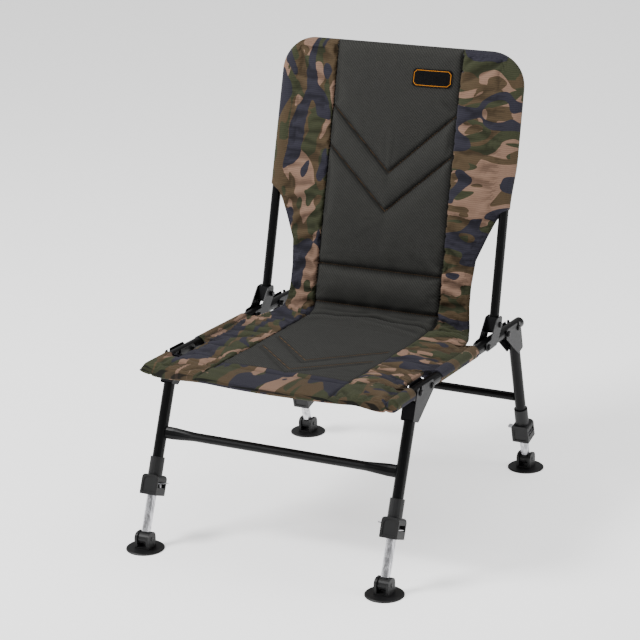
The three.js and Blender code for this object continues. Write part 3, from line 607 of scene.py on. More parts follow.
def loose_folds(x, y, s, along, half, settings):
    """Folds of the side cloth: broad ones, and those gathered at the seam, drawn at the hem and pulled."""
    ax = np.abs(x)
    past = ax - PANEL_HALF
    high = {kind: settings.wrinkle / MM * share for kind, share in FOLD_SHARES.items()}
    flat = np.stack([x.ravel(), along.ravel()], 1)
    tall = field(flat * np.array([1.0, 0.42]), 0.030, 3.1).reshape(x.shape)
    fine = field(flat * np.array([0.6, 1.0]), 0.055, 9.4).reshape(x.shape)
    broad = (high["tall"] * tall + high["fine"] * fine) * (hump(s, *BROAD_AT) + BROAD_ELSEWHERE)
    waist = hump(s, *GATHERED_AT) + 0.25 * hump(s, *GATHERED_ABOVE_AT)
    waves = np.sin(along / GATHERED_LONG + 2.6 * tall + 0.03 * past * np.sign(x) + 1.4 * fine)
    gathered = high["gathered"] * waves * hump(past, 0, GATHERED_REACH) * waist * smooth(2, 12, past)
    waves = np.sin(along / DRAWN_LONG + 0.045 * ax + 1.8 * tall)
    drawn = high["drawn"] * waves * hump(half - ax, 0, DRAWN_REACH) * hump(s, *DRAWN_AT)
    waves = np.sin((0.55 * along + 0.9 * ax) / PULLED_LONG + 2.4 * tall)
    pulled = high["pulled"] * waves * hump(y, *PULLED_AT) * smooth(PANEL_HALF + 10, PANEL_HALF + 60, ax)
    return broad, gathered + drawn + pulled


def quilting(x, y, s, along, half, settings):
    """Height that the padding, its seams and the loose folds add to the face."""
    ax = np.abs(x)
    free = smooth(0, 24, half - ax) * smooth(0, 22, along) * smooth(0, 20, COVER_LONG - along)
    height = padding(x, y, s, along, settings) * free
    height = height + fold_crease(x, along) * smooth(0, 30, half - ax)
    broad, narrow = loose_folds(x, y, s, along, half, settings)
    return height + np.where(ax < PANEL_HALF, PANEL_FOLDS * broad * free, (broad + narrow) * free)


def cover_net(settings):
    """Corner points of the cover's face and back, with the place of each on the cloth."""
    rows, halves, x = cover_places()
    along = np.repeat(rows[:, None], x.shape[1], 1)
    half = np.repeat(halves[:, None], x.shape[1], 1)
    y = along + SEAT_CORNER_Y
    s = along - BACK_ALONG
    face, under = cover_heights(x, y, s, along, half, settings)
    face = face + quilting(x, y, s, along, half, settings)
    front = SEAT_MIDDLE_Y + (SEAT_CORNER_Y - SEAT_MIDDLE_Y) * np.clip(np.abs(x) / RAIL_HALF, 0, 1) ** 2
    front = front - by_side(x, CORNER_REACH) * smooth(RAIL_HALF - 25, RAIL_HALF + RAIL_SLEEVE, np.abs(x))
    pushed = (front - SEAT_CORNER_Y) * (1 - np.clip(along / SEAT_LONG, 0, 1))
    angle = np.clip((along - SEAT_LONG) / FOLD_RADIUS, 0, TURN) - DROP_ANGLE
    normal = np.stack([-np.sin(angle), np.cos(angle)], -1)
    seat_normal = np.stack([-np.sin(-DROP_ANGLE), np.cos(-DROP_ANGLE)])
    seat_y = SEAT_CORNER_Y + np.minimum(along, SEAT_LONG) + pushed
    base = np.stack([seat_y, rail_z(seat_y)], -1) + FOLD_RADIUS * (seat_normal - normal)
    past = np.maximum(along - SEAT_LONG - FOLD_LONG, 0)[..., None]
    base = base + past * np.array([math.sin(RECLINE), math.cos(RECLINE)])
    bulge = RIGHT_BULGE * smooth(BAG_FROM, BAG_FROM + BULGE_EASE, s)
    across = x + bulge * np.clip((x - MIDDLE_REACH) / 100, 0, 1)
    faces = []
    for height in (face, under):
        place = base + normal * height[..., None]
        faces.append(np.stack([across, place[..., 0] - CENTRE_Y, place[..., 1]], -1) * MM)
    edge = np.ones(x.shape, bool)
    edge[1:-1, 1:-1] = False
    faces[1][edge] = faces[0][edge]
    return faces, np.stack([x, along + pushed], -1) * MM, cover_pins(x, y, s, along, half)


def cover_pins(x, y, s, along, half):
    """How firmly each point of the face is held while the padding swells: 1 at seams, hems and tubes."""
    ax = np.abs(x)
    sewn = hump(seam_distance(x, y, s), 0, SEWN_WIDE) * (ax < PANEL_HALF + SEWN_PAST)
    hems = 1 - smooth(2, 16, half - ax) * smooth(2, 18, along) * smooth(4, 24, COVER_LONG - along)
    rails = smooth(RAIL_HALF - RAIL_SLEEVE - 8, RAIL_HALF - RAIL_SLEEVE, ax) * (half > RAIL_HALF)
    tubes = smooth(-TUBE_HOLD, -16, ax - upright_x(s)) * smooth(SLEEVE_FROM - 40, SLEEVE_FROM, s)
    fold = hump(along - SEAT_LONG, FOLD_LONG / 2, FOLD_HELD_WIDE) * FOLD_HELD
    return np.clip(np.maximum.reduce([sewn, hems, rails, tubes, fold]), 0, 1)


# Swelling of the face by cloth simulation; hollows are measured in metres over that many points
SWELL_FRAMES = 20
HOLD_STEPS = 20
FIRMLY_HELD = 0.97
REAR_SHIFT = -2.0
HOLLOW_DEPTH = 0.0016
HOLLOW_REACH = 4


def net_quads(index):
    """The four corners of every cell of a net of point numbers."""
    return np.stack([index[:-1, :-1], index[:-1, 1:], index[1:, 1:], index[1:, :-1]], -1).reshape(-1, 4)


def hold(piece, name, weights):
    """A vertex group with a weight for every point, in a few even steps."""
    group = piece.vertex_groups.new(name=name)
    levels = np.round(weights * HOLD_STEPS).astype(int)
    for level in np.unique(levels):
        if level > 0:
            group.add(np.flatnonzero(levels == level).tolist(), level / HOLD_STEPS, "REPLACE")


def billow(face, pins, taut, settings):
    """Cloth simulation of the face: the padding swells and the side cloth, cut a little long, folds."""
    mesh = bpy.data.meshes.new("swelling_face")
    index = np.arange(face[..., 0].size).reshape(face.shape[:2])
    mesh.from_pydata(face.reshape(-1, 3).tolist(), [], net_quads(index).tolist())
    sheet = bpy.data.objects.new("swelling_face", mesh)
    bpy.context.scene.collection.objects.link(sheet)
    hold(sheet, "sewn", pins.ravel())
    hold(sheet, "taut", taut.ravel())
    bpy.ops.object.select_all(action="DESELECT")
    sheet.select_set(True)
    bpy.context.view_layer.objects.active = sheet
    bpy.ops.object.modifier_add(type="CLOTH")
    cloth = sheet.modifiers[-1]
    cloth.settings.vertex_group_mass = "sewn"
    cloth.settings.vertex_group_shrink = "taut"
    cloth.settings.shrink_min = -settings.looseness
    cloth.settings.shrink_max = 0.0
    cloth.settings.use_pressure = True
    cloth.settings.uniform_pressure_force = settings.swell
    cloth.settings.effector_weights.gravity = 0
    cloth.settings.quality = 4
    cloth.collision_settings.use_collision = False
    cloth.point_cache.frame_start, cloth.point_cache.frame_end = 1, SWELL_FRAMES
    for moment in range(1, SWELL_FRAMES + 1):
        bpy.context.scene.frame_set(moment)
    bpy.ops.object.modifier_apply(modifier=cloth.name)
    bpy.context.scene.frame_set(1)
    after = np.empty(face.size)
    mesh.vertices.foreach_get("co", after)
    moved = after.reshape(face.shape) - face
    far = np.linalg.norm(moved, axis=-1, keepdims=True)
    moved *= settings.swell_cap * np.tanh(far / settings.swell_cap) / np.maximum(far, 1e-9)
    moved[pins > FIRMLY_HELD] = 0
    bpy.data.objects.remove(sheet)
    return face + moved


def spread(net, reach, axis):
    """Each point's mean with its neighbours that far either way along one axis."""
    widths = [(reach, reach) if axis == at else (0, 0) for at in range(net.ndim)]
    wide = np.pad(net, widths, mode="edge")
    total = sum(np.roll(wide, step, axis) for step in range(-reach, reach + 1))
    return total.take(range(reach, reach + net.shape[axis]), axis) / (2 * reach + 1)


def hollows(face):
    """How far each point lies below the cloth around it: 1 in a crease, -1 on a sharp ridge; the cover's
    finish paints shade into the creases and light onto the ridges from it.
    """
    outward = np.cross(np.gradient(face, axis=1), np.gradient(face, axis=0))
    outward /= np.maximum(np.linalg.norm(outward, axis=-1, keepdims=True), 1e-12)
    around = spread(spread(face, HOLLOW_REACH, 0), HOLLOW_REACH, 1)
    deep = ((around - face) * outward).sum(-1)
    inner = np.zeros(deep.shape, bool)
    inner[6:-6, 4:-4] = True
    return np.where(inner, np.clip(deep / HOLLOW_DEPTH, -1, 1), 0)


def build_cover(settings):
    """One closed mesh: the face and the back share the points round the edge."""
    (face, back), cloth, pins = cover_net(settings)
    face = billow(face, pins, np.abs(cloth[..., 0]) / MM < PANEL_HALF, settings)
    rows, columns = face.shape[:2]
    index = np.arange(rows * columns).reshape(rows, columns)
    inner = np.zeros((rows, columns), bool)
    inner[1:-1, 1:-1] = True
    other = index.copy()
    other[inner] = rows * columns + np.arange(inner.sum())
    points = np.vstack([face.reshape(-1, 3), back[inner]])
    place = cloth.reshape(-1, 2)[net_quads(index)]
    turned = [0, 3, 2, 1]
    mesh = bpy.data.meshes.new("padded_cover")
    quads = np.vstack([net_quads(index), net_quads(other)[:, turned]])
    mesh.from_pydata(points.tolist(), [], quads.tolist())
    layer = mesh.uv_layers.new(name="cloth")
    places = np.vstack([place, place[:, turned] + np.array([0.0, REAR_SHIFT])])
    layer.data.foreach_set("uv", places.astype(np.float32).ravel())
    mesh.validate()
    depth = np.zeros(len(points))
    # Depth of each point below the folds around it, which the finish turns into painted shade and painted
    # highlight
    depth[:rows * columns] = hollows(face).ravel()
    painted_fold_shading = mesh.attributes.new("painted_fold_shading", "FLOAT", "POINT")
    painted_fold_shading.data.foreach_set("value", depth.astype(np.float32))
    cover = bpy.data.objects.new("padded_cover", mesh)
    bpy.context.scene.collection.objects.link(cover)
    mesh.shade_smooth()
    return cover


# Finishes

# The sewn patch in millimetres: its middle across and up the back, its plate, and the line and weave on it
PATCH_MIDDLE = (80.0, 494.0)
PATCH_SIZE = (82.0, 35.0)
PATCH_CORNER = 7.0
PATCH_THICK = 2.4
PATCH_AHEAD = 45.0
PATCH_RINGS = (1.2, 1.8, 1.2, 3.0)
FRAME_LINE_IN = 2.8
PATCH_THREAD_STEP = 1.1
PATCH_ROW_STEP = 0.9

# Steps of the weave and the stitches in millimetres, how fast a line ends past its edge, where the rear
# of the cover lies on its map, and how far across the front band's shapes run lengthways
TWILL_STEP = 6.2
RIB_STEP = 4.0
RIB_WANDER = 26.0
CROSS_STEP = 1.7
STITCH_STEP = 5.2
EDGE_STITCH_STEP = 6.4
LINE_END = 4.0
REAR_ALONG = -200.0
LEFT_OF_FRONT = 190.0

# Printed shapes of the camouflage, each over the last: dye, scale, place, turn, unevenness and edge
PRINTS = (
    ("green", 17.0, (3.1, 1.7), 0.12, 1.0, 0.515),
    ("tan", 16.5, (7.7, 4.2), -0.10, 1.6, 0.530),
    ("green", 27.0, (11.3, 8.8), 0.2, 0.7, 0.612),
    ("brown", 25.0, (19.4, 2.6), -0.2, 1.0, 0.63),
    ("navy", 17.5, (15.9, 12.4), 0.05, 1.4, 0.592),
)
PRINT_STRETCH = 0.46
PRINT_SOFT = 0.0022


def ribs(place, step):
    """Waves from 0 to 1 that repeat at this step."""
    return (place * (2 * math.pi / step)).sine() * 0.5 + 0.5


def past(ax, edge):
    """Nothing up to an edge and quickly more beyond it, so that a line ends there."""
    return (ax - edge).most(0.0) * LINE_END


def camouflage(finish, uv, upright, on_seat, settings):
    """Blobs of four colours that lie over each other, longer one way than the other.

    The left panels and the front band are cut the other way round, so there the blobs run lengthways.
    """
    turned = finish.mapped(uv, rotation=(0, 0, math.radians(82)), location=(0.37, 0.11, 0))
    longer = finish.mapped(uv, scale=(1.15, 0.68, 1), location=(0.23, 0.40, 0))
    place = finish.blend(upright, turned, finish.blend(on_seat, uv, longer))
    colour = settings.brown
    for dye, scale, shift, turn, uneven, edge in PRINTS:
        moved = finish.mapped(
            place, scale=(1.0, PRINT_STRETCH, 1), rotation=(0, 0, turn), location=(*shift, 0))
        blob = finish.grain(moved, scale, 0.0, 0.45, uneven)
        colour = finish.blend(blob.above(edge, PRINT_SOFT), colour, getattr(settings, dye))
    return colour


def chevrons(place, ax, vees):
    """Distance from the nearest of some quilted chevrons, in millimetres."""
    nearest = None
    for tip, arm, reach in vees:
        slope = (arm - tip) / reach
        distance = abs(place - tip - slope * ax) / math.hypot(1, slope) + past(ax, reach)
        nearest = distance if nearest is None else nearest.least(distance)
    return nearest


def weave(across, along, panel):
    """Height of the yarns: fine diagonal ribs on the plain panel, ribs across on the camouflage."""
    wander = (across * (2 * math.pi / RIB_WANDER)).sine() * 0.8
    rib = (along * (2 * math.pi / RIB_STEP) + wander).sine() * 0.5 + 0.5
    cross = ribs(across, CROSS_STEP)
    plain = ribs(across + along, TWILL_STEP) * 0.7 + cross * 0.3
    return plain * panel + (rib * 0.35 + cross * 0.15 + 0.25) * (1.0 - panel)


def crease_line(across, along):
    """Distance from the wavy crease between seat and back."""
    off = along - (SEAT_LONG + CREASE_AFTER)
    for high, length, shift in CREASE_WAVES:
        off = off - (across / length + shift).sine() * high
    return abs(off)


def front_seam(ax, y):
    """Distance from the seam between the middle panel and the front band."""
    return abs(y - FRONT_SEAM) + past(ax, PANEL_HALF)


def seams_and_painted_shade(across, along, ax, y):
    """Dark stitched side seams, front seam and hems, with painted shadow at the sleeve ends and painted
    shade with stitching along the sleeves' creases.
    """
    hem_at = (SEAT_MIDDLE_Y - SEAT_CORNER_Y) * (1.0 - (ax * ax / RAIL_HALF ** 2).least(1.0))
    hem = (along - hem_at).below(2.4, 1.0)
    # Painted shadow round the ends of the rail sleeves
    ends = abs(y - NOTCH_END).least(abs(y - SLEEVE_END)).least(abs(y - POCKET_END)).below(2.0, 1.0)
    # Stitching with painted shade along the crease where a sleeve turns under its rail
    sleeve_stitch_and_shade = abs(ax - SLEEVE_CREASE).below(1.2, 1.4) * y.below(SLEEVE_END, 1.0)
    sleeve_stitch_and_shade = sleeve_stitch_and_shade * across.above(0, 1).most(y.above(NOTCH_END, 1))
    seams = abs(ax - PANEL_HALF).below(2.0, 1.2).most(front_seam(ax, y).below(1.4, 1.0))
    return seams.most(ends * ax.above(NOTCH_HALF, 1.0)).most(hem).most(sleeve_stitch_and_shade * 0.85)


def cover_finish(settings):
    """Camouflage side panels and a plain middle panel with its seams, in one finish, with painted shade in
    its grooves, creases and sleeve ends and a painted highlight on its ridges.
    """
    finish = Finish("Cover cloth", roughness=0.9, Specular_IOR_Level=0.12,
                    Sheen_Weight=0.03, Sheen_Roughness=0.5)
    uv = finish.uv_map("cloth")
    across, along = (finish.part(uv, axis) * (1 / MM) for axis in (0, 1))
    ax = abs(across)
    y = along + SEAT_CORNER_Y
    s = along - BACK_ALONG
    faced = 1.0 - along.below(REAR_ALONG, 1.0)
    panel = ax.below(PANEL_HALF, 0.8) * y.above(FRONT_SEAM, 0.8) * faced
    channels = abs(s - CHANNELS[0]).least(abs(s - CHANNELS[1])) + past(ax, PANEL_HALF)
    sewn = chevrons(y, ax, SEAT_VEES).least(chevrons(s, ax, BACK_VEES)).least(channels)
    woven = weave(across, along, panel)
    yarn = finish.grain(uv, 620, 2.0, 0.7)
    dye = finish.grain(uv, 55, 3.0, 0.6)
    soil = finish.grain(uv, 7, 4.0, 0.6)
    painted_fold_shading = finish.attribute("painted_fold_shading")
    upright = across.below(0, 1).most(y.below(FRONT_SEAM, 1) * across.below(LEFT_OF_FRONT, 1)) * faced
    colour = camouflage(finish, uv, upright, along.below(SEAT_LONG, 1), settings)
    colour = finish.blend(panel, colour, settings.panel)
    tone = 0.36 + woven * 0.66 + yarn * 0.42 + dye * 0.16 + soil * 0.08
    # Painted shade in the creases and a painted highlight on the sharp ridges, from the depth stored on the
    # cover
    tone = tone * (1.0 - painted_fold_shading.most(0.0) * 0.32 - painted_fold_shading.least(0.0) * 0.18)
    colour = finish.node("ShaderNodeVectorMath", {"operation": "SCALE"}, {0: colour, 3: tone})
    # Painted shade in the grooves of the quilted chevrons and channels
    colour = finish.blend(sewn.below(2.6, 3.4) * 0.6, colour, shade(settings.panel, 0.3))
    dash = ((across + along * 1.3) * (2 * math.pi / STITCH_STEP)).sine().above(-0.35, 0.5)
    thread = sewn.below(0.75, 0.5) * dash * panel
    colour = finish.blend(thread * (0.7 - s.above(0, 40) * 0.35), colour, settings.thread)
    # A painted shadow along the wavy crease between seat and back
    crease = crease_line(across, along).below(2.5, 4.0)
    colour = finish.blend(crease * 0.55 * faced, colour, shade(settings.panel, 0.15))
    edge_dash = (along * (2 * math.pi / EDGE_STITCH_STEP)).sine().above(0.0, 0.5)
    # Dark stitched seams and hems, with painted shade at the sleeve ends and along the sleeve creases, in
    # dashes
    dark = seams_and_painted_shade(across, along, ax, y) * (0.25 + edge_dash * 0.65) * faced
    finish.set("Base Color", finish.blend(dark, colour, shade(settings.panel, 0.18)))
    finish.set("Roughness", 0.82 + yarn * 0.12)
    ridge = finish.bump(woven * 0.9 + yarn * 0.7, 0.0007, 0.8)
    seams = [(distance / wide).least(1.0) for distance, wide in (
        (sewn, 5.0), (abs(ax - PANEL_HALF), 4.0), (front_seam(ax, y), 4.0))]
    dented = finish.bump(seams[0] + seams[1] + seams[2], 0.0012, 0.6, ridge)
    crumple = finish.grain(uv, 38, 3.0, 0.55, 0.4)
    finish.set("Normal", finish.bump(crumple, 0.0016, 0.28, dented))
    return finish.material


def painted_tube(settings):
    """Black paint, a little mottled, and rubbed thin in long patches."""
    finish = Finish("Painted tube", settings.tube, Specular_IOR_Level=0.14,
                    Coat_Weight=0.06, Coat_Roughness=0.2)
    place = finish.position()
    mottle = finish.grain(place, 260, 3.0, 0.6)
    rub = finish.grain(finish.mapped(place, scale=(1, 1, 0.25)), 34, 5.0, 0.7)
    worn = rub.above(0.66, 0.08)
    finish.set("Base Color", finish.blend(worn * 0.25, settings.tube, shade(settings.tube, 3.0)))
    finish.set("Roughness", 0.3 + mottle * 0.12 + worn * 0.1)
    finish.set("Normal", finish.bump(finish.grain(place, 900, 2.0, 0.5), 0.0002, 0.25))
    return finish.material


def coated_plate(settings):
    """Satin coating over rolled sheet."""
    finish = Finish("Coated plate", settings.plate, metallic=0.12, Specular_IOR_Level=0.22)
    place = finish.position()
    rolled = finish.grain(finish.mapped(place, scale=(1, 0.35, 1)), 320, 3.0, 0.6)
    cloudy = finish.grain(place, 60, 3.0, 0.6)
    paler = shade(settings.plate, 1.7)
    finish.set("Base Color", finish.blend(cloudy.above(0.5, 0.5) * 0.35, settings.plate, paler))
    finish.set("Roughness", 0.3 + rolled * 0.16 + cloudy * 0.06)
    finish.set("Normal", finish.bump(rolled, 0.00018, 0.3))
    return finish.material


def blackened_bolt(settings):
    """Blackened steel, tumbled to a few paler specks."""
    finish = Finish("Blackened bolt", shade(settings.plate, 0.5), metallic=0.6)
    place = finish.position()
    tumbled = finish.grain(place, 420, 3.0, 0.6)
    dark, pale = shade(settings.plate, 0.4), shade(settings.plate, 1.6)
    finish.set("Base Color", finish.blend(tumbled.above(0.6, 0.2) * 0.5, dark, pale))
    finish.set("Roughness", 0.28 + tumbled * 0.16)
    finish.set("Normal", finish.bump(tumbled, 0.0001, 0.3))
    return finish.material


def moulded_plastic(settings):
    """Finely grained plastic with a little dust on it."""
    finish = Finish("Moulded plastic", settings.plastic, Specular_IOR_Level=0.36)
    place = finish.position()
    skin = finish.grain(place, 1300, 2.0, 0.5)
    cloudy = finish.grain(place, 45, 4.0, 0.65)
    dust = finish.grain(place, 120, 5.0, 0.7).above(0.56, 0.2)
    finish.set("Base Color", finish.blend(dust * 0.22, settings.plastic, shade(settings.plastic, 2.6)))
    finish.set("Roughness", 0.42 + skin * 0.1 + cloudy * 0.1)
    finish.set("Normal", finish.bump(skin, 0.00025, 0.4))
    return finish.material


def bright_metal(settings):
    """Galvanised metal, drawn lengthways, with grey streaks."""
    finish = Finish("Bright metal", settings.bright, metallic=0.9)
    place = finish.position()
    drawn = finish.grain(finish.mapped(place, scale=(1, 1, 0.05)), 520, 3.0, 0.65)
    streak = finish.grain(finish.mapped(place, scale=(1, 1, 0.16)), 210, 4.0, 0.7).above(0.5, 0.12)
    spangle = finish.grain(place, 90, 3.0, 0.6)
    colour = finish.blend(spangle.above(0.52, 0.3) * 0.5, settings.bright, shade(settings.bright, 0.6))
    finish.set("Base Color", finish.blend(streak * 0.65, colour, shade(settings.bright, 0.22)))
    finish.set("Roughness", 0.16 + drawn * 0.2 + spangle * 0.08)
    finish.set("Normal", finish.bump(drawn + streak * 0.5, 0.0002, 0.5))
    return finish.material


def patch_finish(settings):
    """Black woven cloth with one bright line sewn along its edge."""
    finish = Finish("Woven patch", srgb(24, 24, 25), Specular_IOR_Level=0.1)
    uv = finish.uv_map("UVMap")
    across, up = ((finish.part(uv, axis) - 0.5) * size for axis, size in enumerate(PATCH_SIZE))
    aside, above = abs(across) - PATCH_SIZE[0] / 2, abs(up) - PATCH_SIZE[1] / 2
    beyond = aside.most(above).most((aside + above + PATCH_CORNER) * math.sqrt(0.5))
    frame_line = abs(beyond + FRAME_LINE_IN).below(0.5, 0.4)
    threads = ribs(across, PATCH_THREAD_STEP)
    rows = ribs(up, PATCH_ROW_STEP)
    cloth = finish.blend(threads * 0.3, srgb(4, 4, 5), srgb(13, 13, 14))
    finish.set("Base Color", finish.blend(frame_line * 0.85, cloth, settings.edging))
    finish.set("Roughness", 0.7 + rows * 0.15)
    finish.set("Normal", finish.bump(threads + rows + frame_line * 2.0, 0.0003, 0.6))
    return finish.material


# Operators, one for each group of pieces and one for the stage

NODES = {
    "tube": ("rail_right", "rail_left", "back_tube", "crossbar_front", "crossbar_rear", "outer_leg_"),
    "plate": ("leg_bracket_", "back_bracket_"),
    "bolt": ("back_pivot_bolt_", "leg_pivot_bolt_", "leg_stop_bolt_", "back_bolt_", "foot_pin_"),
    "plastic": ("rail_plug_", "lock_housing_", "knuckle_", "foot_front", "foot_rear"),
    "bright": ("lock_plate_", "inner_leg_"),
}


def give(node, material):
    """Puts one finish on every slot of a piece of the frame."""
    mesh = node.data
    if not mesh.materials:
        mesh.materials.append(material)
    for slot in node.material_slots:
        slot.material = material


def dress(kind, material):
    """Gives one finish to every piece of a kind."""
    found = [node for name, node in frame["nodes"].items() if name.startswith(NODES[kind])]
    if not found:
        raise RuntimeError(f"the frame has no {kind} pieces")
    for node in found:
        give(node, material)


class CHAIR_OT_tubes(bpy.types.Operator):
    """Gives the rails, legs, crossbars and backrest tube their black paint"""
    bl_idname = "chair.tubes"
    bl_label = "Painted tubes"

    def execute(self, context):
        dress("tube", painted_tube(context.scene.chair_frame))
        return {"FINISHED"}


class CHAIR_OT_plates(bpy.types.Operator):
    """Gives the leg and back brackets their satin coating and the bolts their blackening"""
    bl_idname = "chair.plates"
    bl_label = "Pressed brackets"

    def execute(self, context):
        dress("plate", coated_plate(context.scene.chair_frame))
        dress("bolt", blackened_bolt(context.scene.chair_frame))
        return {"FINISHED"}


class CHAIR_OT_mouldings(bpy.types.Operator):
    """Gives the feet, knuckles, lock housings and rail plugs their moulded grain"""
    bl_idname = "chair.mouldings"
    bl_label = "Plastic mouldings"

    def execute(self, context):
        dress("plastic", moulded_plastic(context.scene.chair_frame))
        return {"FINISHED"}


class CHAIR_OT_bright(bpy.types.Operator):
    """Gives the inner legs and lock plates their bare metal"""
    bl_idname = "chair.bright"
    bl_label = "Bright metal"

    def execute(self, context):
        dress("bright", bright_metal(context.scene.chair_frame))
        return {"FINISHED"}


def modify(piece, kind, **settings):
    """Adds a modifier to the active piece, sets it and applies it."""
    bpy.ops.object.modifier_add(type=kind)
    modifier = piece.modifiers[-1]
    for name, value in settings.items():
        setattr(modifier, name, value)
    bpy.ops.object.modifier_apply(modifier=modifier.name)


# A lock's coil spring, in millimetres from the plate's hinge
SPRING_FROM_HINGE = 31.1
SPRING_BELOW = 2.4
SPRING_ABOVE = 5.1
SPRING_RADIUS = 2.3
SPRING_WIRE = 0.45
SPRING_TURNS = 5
SPRING_SIDES = 8
SPRING_STEPS = 16


def coil_spring(name, base, top):
    """A coil of round wire between two points, with closed ends."""
    rise = (top - base).length - 2 * SPRING_WIRE * MM
    bpy.ops.object.select_all(action="DESELECT")
    bpy.ops.mesh.primitive_circle_add(
        vertices=SPRING_SIDES, radius=SPRING_WIRE * MM, location=(SPRING_RADIUS * MM, 0, 0),
        rotation=(math.pi / 2, 0, 0))
    spring = bpy.context.active_object
    spring.name = name
    bpy.ops.object.transform_apply(location=True, rotation=True, scale=True)
    modify(spring, "SCREW", axis="Z", iterations=SPRING_TURNS, screw_offset=rise / SPRING_TURNS,
           steps=SPRING_STEPS, render_steps=SPRING_STEPS)
    bpy.ops.object.mode_set(mode="EDIT")
    bpy.ops.mesh.select_all(action="SELECT")
    bpy.ops.mesh.remove_doubles(threshold=1e-6)
    bpy.ops.mesh.fill_holes(sides=SPRING_SIDES)
    bpy.ops.mesh.select_all(action="SELECT")
    bpy.ops.mesh.normals_make_consistent(inside=False)
    bpy.ops.object.mode_set(mode="OBJECT")
    bpy.ops.object.shade_smooth()
    turned = (top - base).to_track_quat("Z", "Y").to_matrix().to_4x4()
    raised = Matrix.Translation((0, 0, SPRING_WIRE * MM))
    spring.data.transform(Matrix.Translation(base) @ turned @ raised)
    return spring


class CHAIR_OT_springs(bpy.types.Operator):
    """Makes the small return spring under each lock plate"""
    bl_idname = "chair.springs"
    bl_label = "Lock springs"

    def execute(self, context):
        locks = [joint for joint in frame["joints"] if joint["name"].startswith("lock_tilt_")]
        if not locks:
            raise RuntimeError("the frame has no lock plates to put springs under")
        metal = bright_metal(context.scene.chair_frame)
        for joint in locks:
            hinge = Vector(joint["pos_m"])
            upward = Vector((0, -joint["axis"][2], joint["axis"][1]))
            upward *= math.copysign(1 / upward.length, upward.z)
            foot = hinge - Vector((math.copysign(SPRING_FROM_HINGE * MM, hinge.x), 0, 0))
            base, top = foot - upward * SPRING_BELOW * MM, foot + upward * SPRING_ABOVE * MM
            spring = coil_spring(joint["name"].replace("lock_tilt", "lock_spring"), base, top)
            spring.data.materials.append(metal)
            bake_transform(spring)
        return {"FINISHED"}


class CHAIR_OT_cover(bpy.types.Operator):
    """Makes the padded cover that runs from the seat over the fold to the top of the back"""
    bl_idname = "chair.cover"
    bl_label = "Padded cover"

    def execute(self, context):
        settings = context.scene.chair_cover
        cover = build_cover(settings)
        cover.data.materials.append(cover_finish(settings))
        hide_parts("seat_cover", "back_cover")
        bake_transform(cover)
        return {"FINISHED"}


def patch_place(s, ahead):
    """A point that far up the back and ahead of the tubes' plane, in metres."""
    y = BACK_Y + s * math.sin(RECLINE) - ahead * math.cos(RECLINE) - CENTRE_Y
    z = rail_z(BACK_Y) + s * math.cos(RECLINE) + ahead * math.sin(RECLINE)
    return y * MM, z * MM


class CHAIR_OT_patch(bpy.types.Operator):
    """Makes the sewn patch: a thin plate with round corners that follows the swollen cover"""
    bl_idname = "chair.patch"
    bl_label = "Sewn patch"

    def execute(self, context):
        cover = context.scene.objects.get("padded_cover")
        if cover is None:
            raise RuntimeError("the patch is sewn on the cover, so the cover comes first")
        across, up = PATCH_MIDDLE
        bpy.ops.object.select_all(action="DESELECT")
        bpy.ops.mesh.primitive_plane_add(size=1, location=(across * MM, *patch_place(up, PATCH_AHEAD)),
                                         rotation=(math.pi / 2 - RECLINE, 0, 0))
        patch = context.active_object
        patch.name = "sewn_patch"
        patch.scale = (PATCH_SIZE[0] * MM, PATCH_SIZE[1] * MM, 1)
        bpy.ops.object.transform_apply(location=True, rotation=True, scale=True)
        bpy.ops.object.mode_set(mode="EDIT")
        bpy.ops.mesh.select_all(action="SELECT")
        bpy.ops.mesh.bevel(offset=PATCH_CORNER * MM, segments=6, affect="VERTICES")
        bpy.ops.mesh.select_all(action="SELECT")
        for ring in PATCH_RINGS:
            bpy.ops.mesh.inset(thickness=ring * MM)
        bpy.ops.object.mode_set(mode="OBJECT")
        modify(patch, "SUBSURF", subdivision_type="SIMPLE", levels=3, render_levels=3)
        modify(patch, "SHRINKWRAP", target=cover, wrap_method="PROJECT", use_project_y=True,
               use_positive_direction=True, use_negative_direction=False)
        modify(patch, "SOLIDIFY", thickness=PATCH_THICK * MM, offset=0.6)
        bpy.ops.object.shade_smooth_by_angle(angle=math.radians(40))
        patch.data.materials.append(patch_finish(context.scene.chair_cover))
        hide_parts("back_label")
        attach(patch, "backrest")
        return {"FINISHED"}


# Lamps: name, place, aim, size and share of the Key setting
LAMPS = (
    ("Key lamp", (-2.1, -1.8, 3.3), (0, 0, 0.4), (1.1, 1.1), 1.0),
    ("Top lamp", (0.6, 0.4, 3.4), (0, 0, 0.3), (2.6, 2.6), 0.24),
    ("Side lamp", (3.0, 0.4, 1.4), (0, 0, 0.4), (1.0, 2.4), 0.2),
)
FLOOR_SIZE = 60.0
FLOOR_Z = -0.0005

# The camera: its place in metres, its turns in radians, its lens in millimetres and its shift
CAMERA_AT = (1.9327, -3.8418, 1.8083)
CAMERA_YAW = 0.4687
CAMERA_DOWN = 0.3184
CAMERA_ROLL = -0.0177
CAMERA_LENS = 130.3
CAMERA_SHIFT = (-0.0222, 0.0018)


def add_lamp(name, place, aim, size, energy):
    """A soft rectangular lamp at a place, turned to its aim."""
    lamp = bpy.data.objects.new(name, bpy.data.lights.new(name, "AREA"))
    lamp.data.shape = "RECTANGLE"
    lamp.data.size, lamp.data.size_y = size
    lamp.data.energy = energy
    lamp.location = place
    lamp.rotation_euler = (Vector(aim) - Vector(place)).to_track_quat("-Z", "Y").to_euler()
    bpy.context.scene.collection.objects.link(lamp)


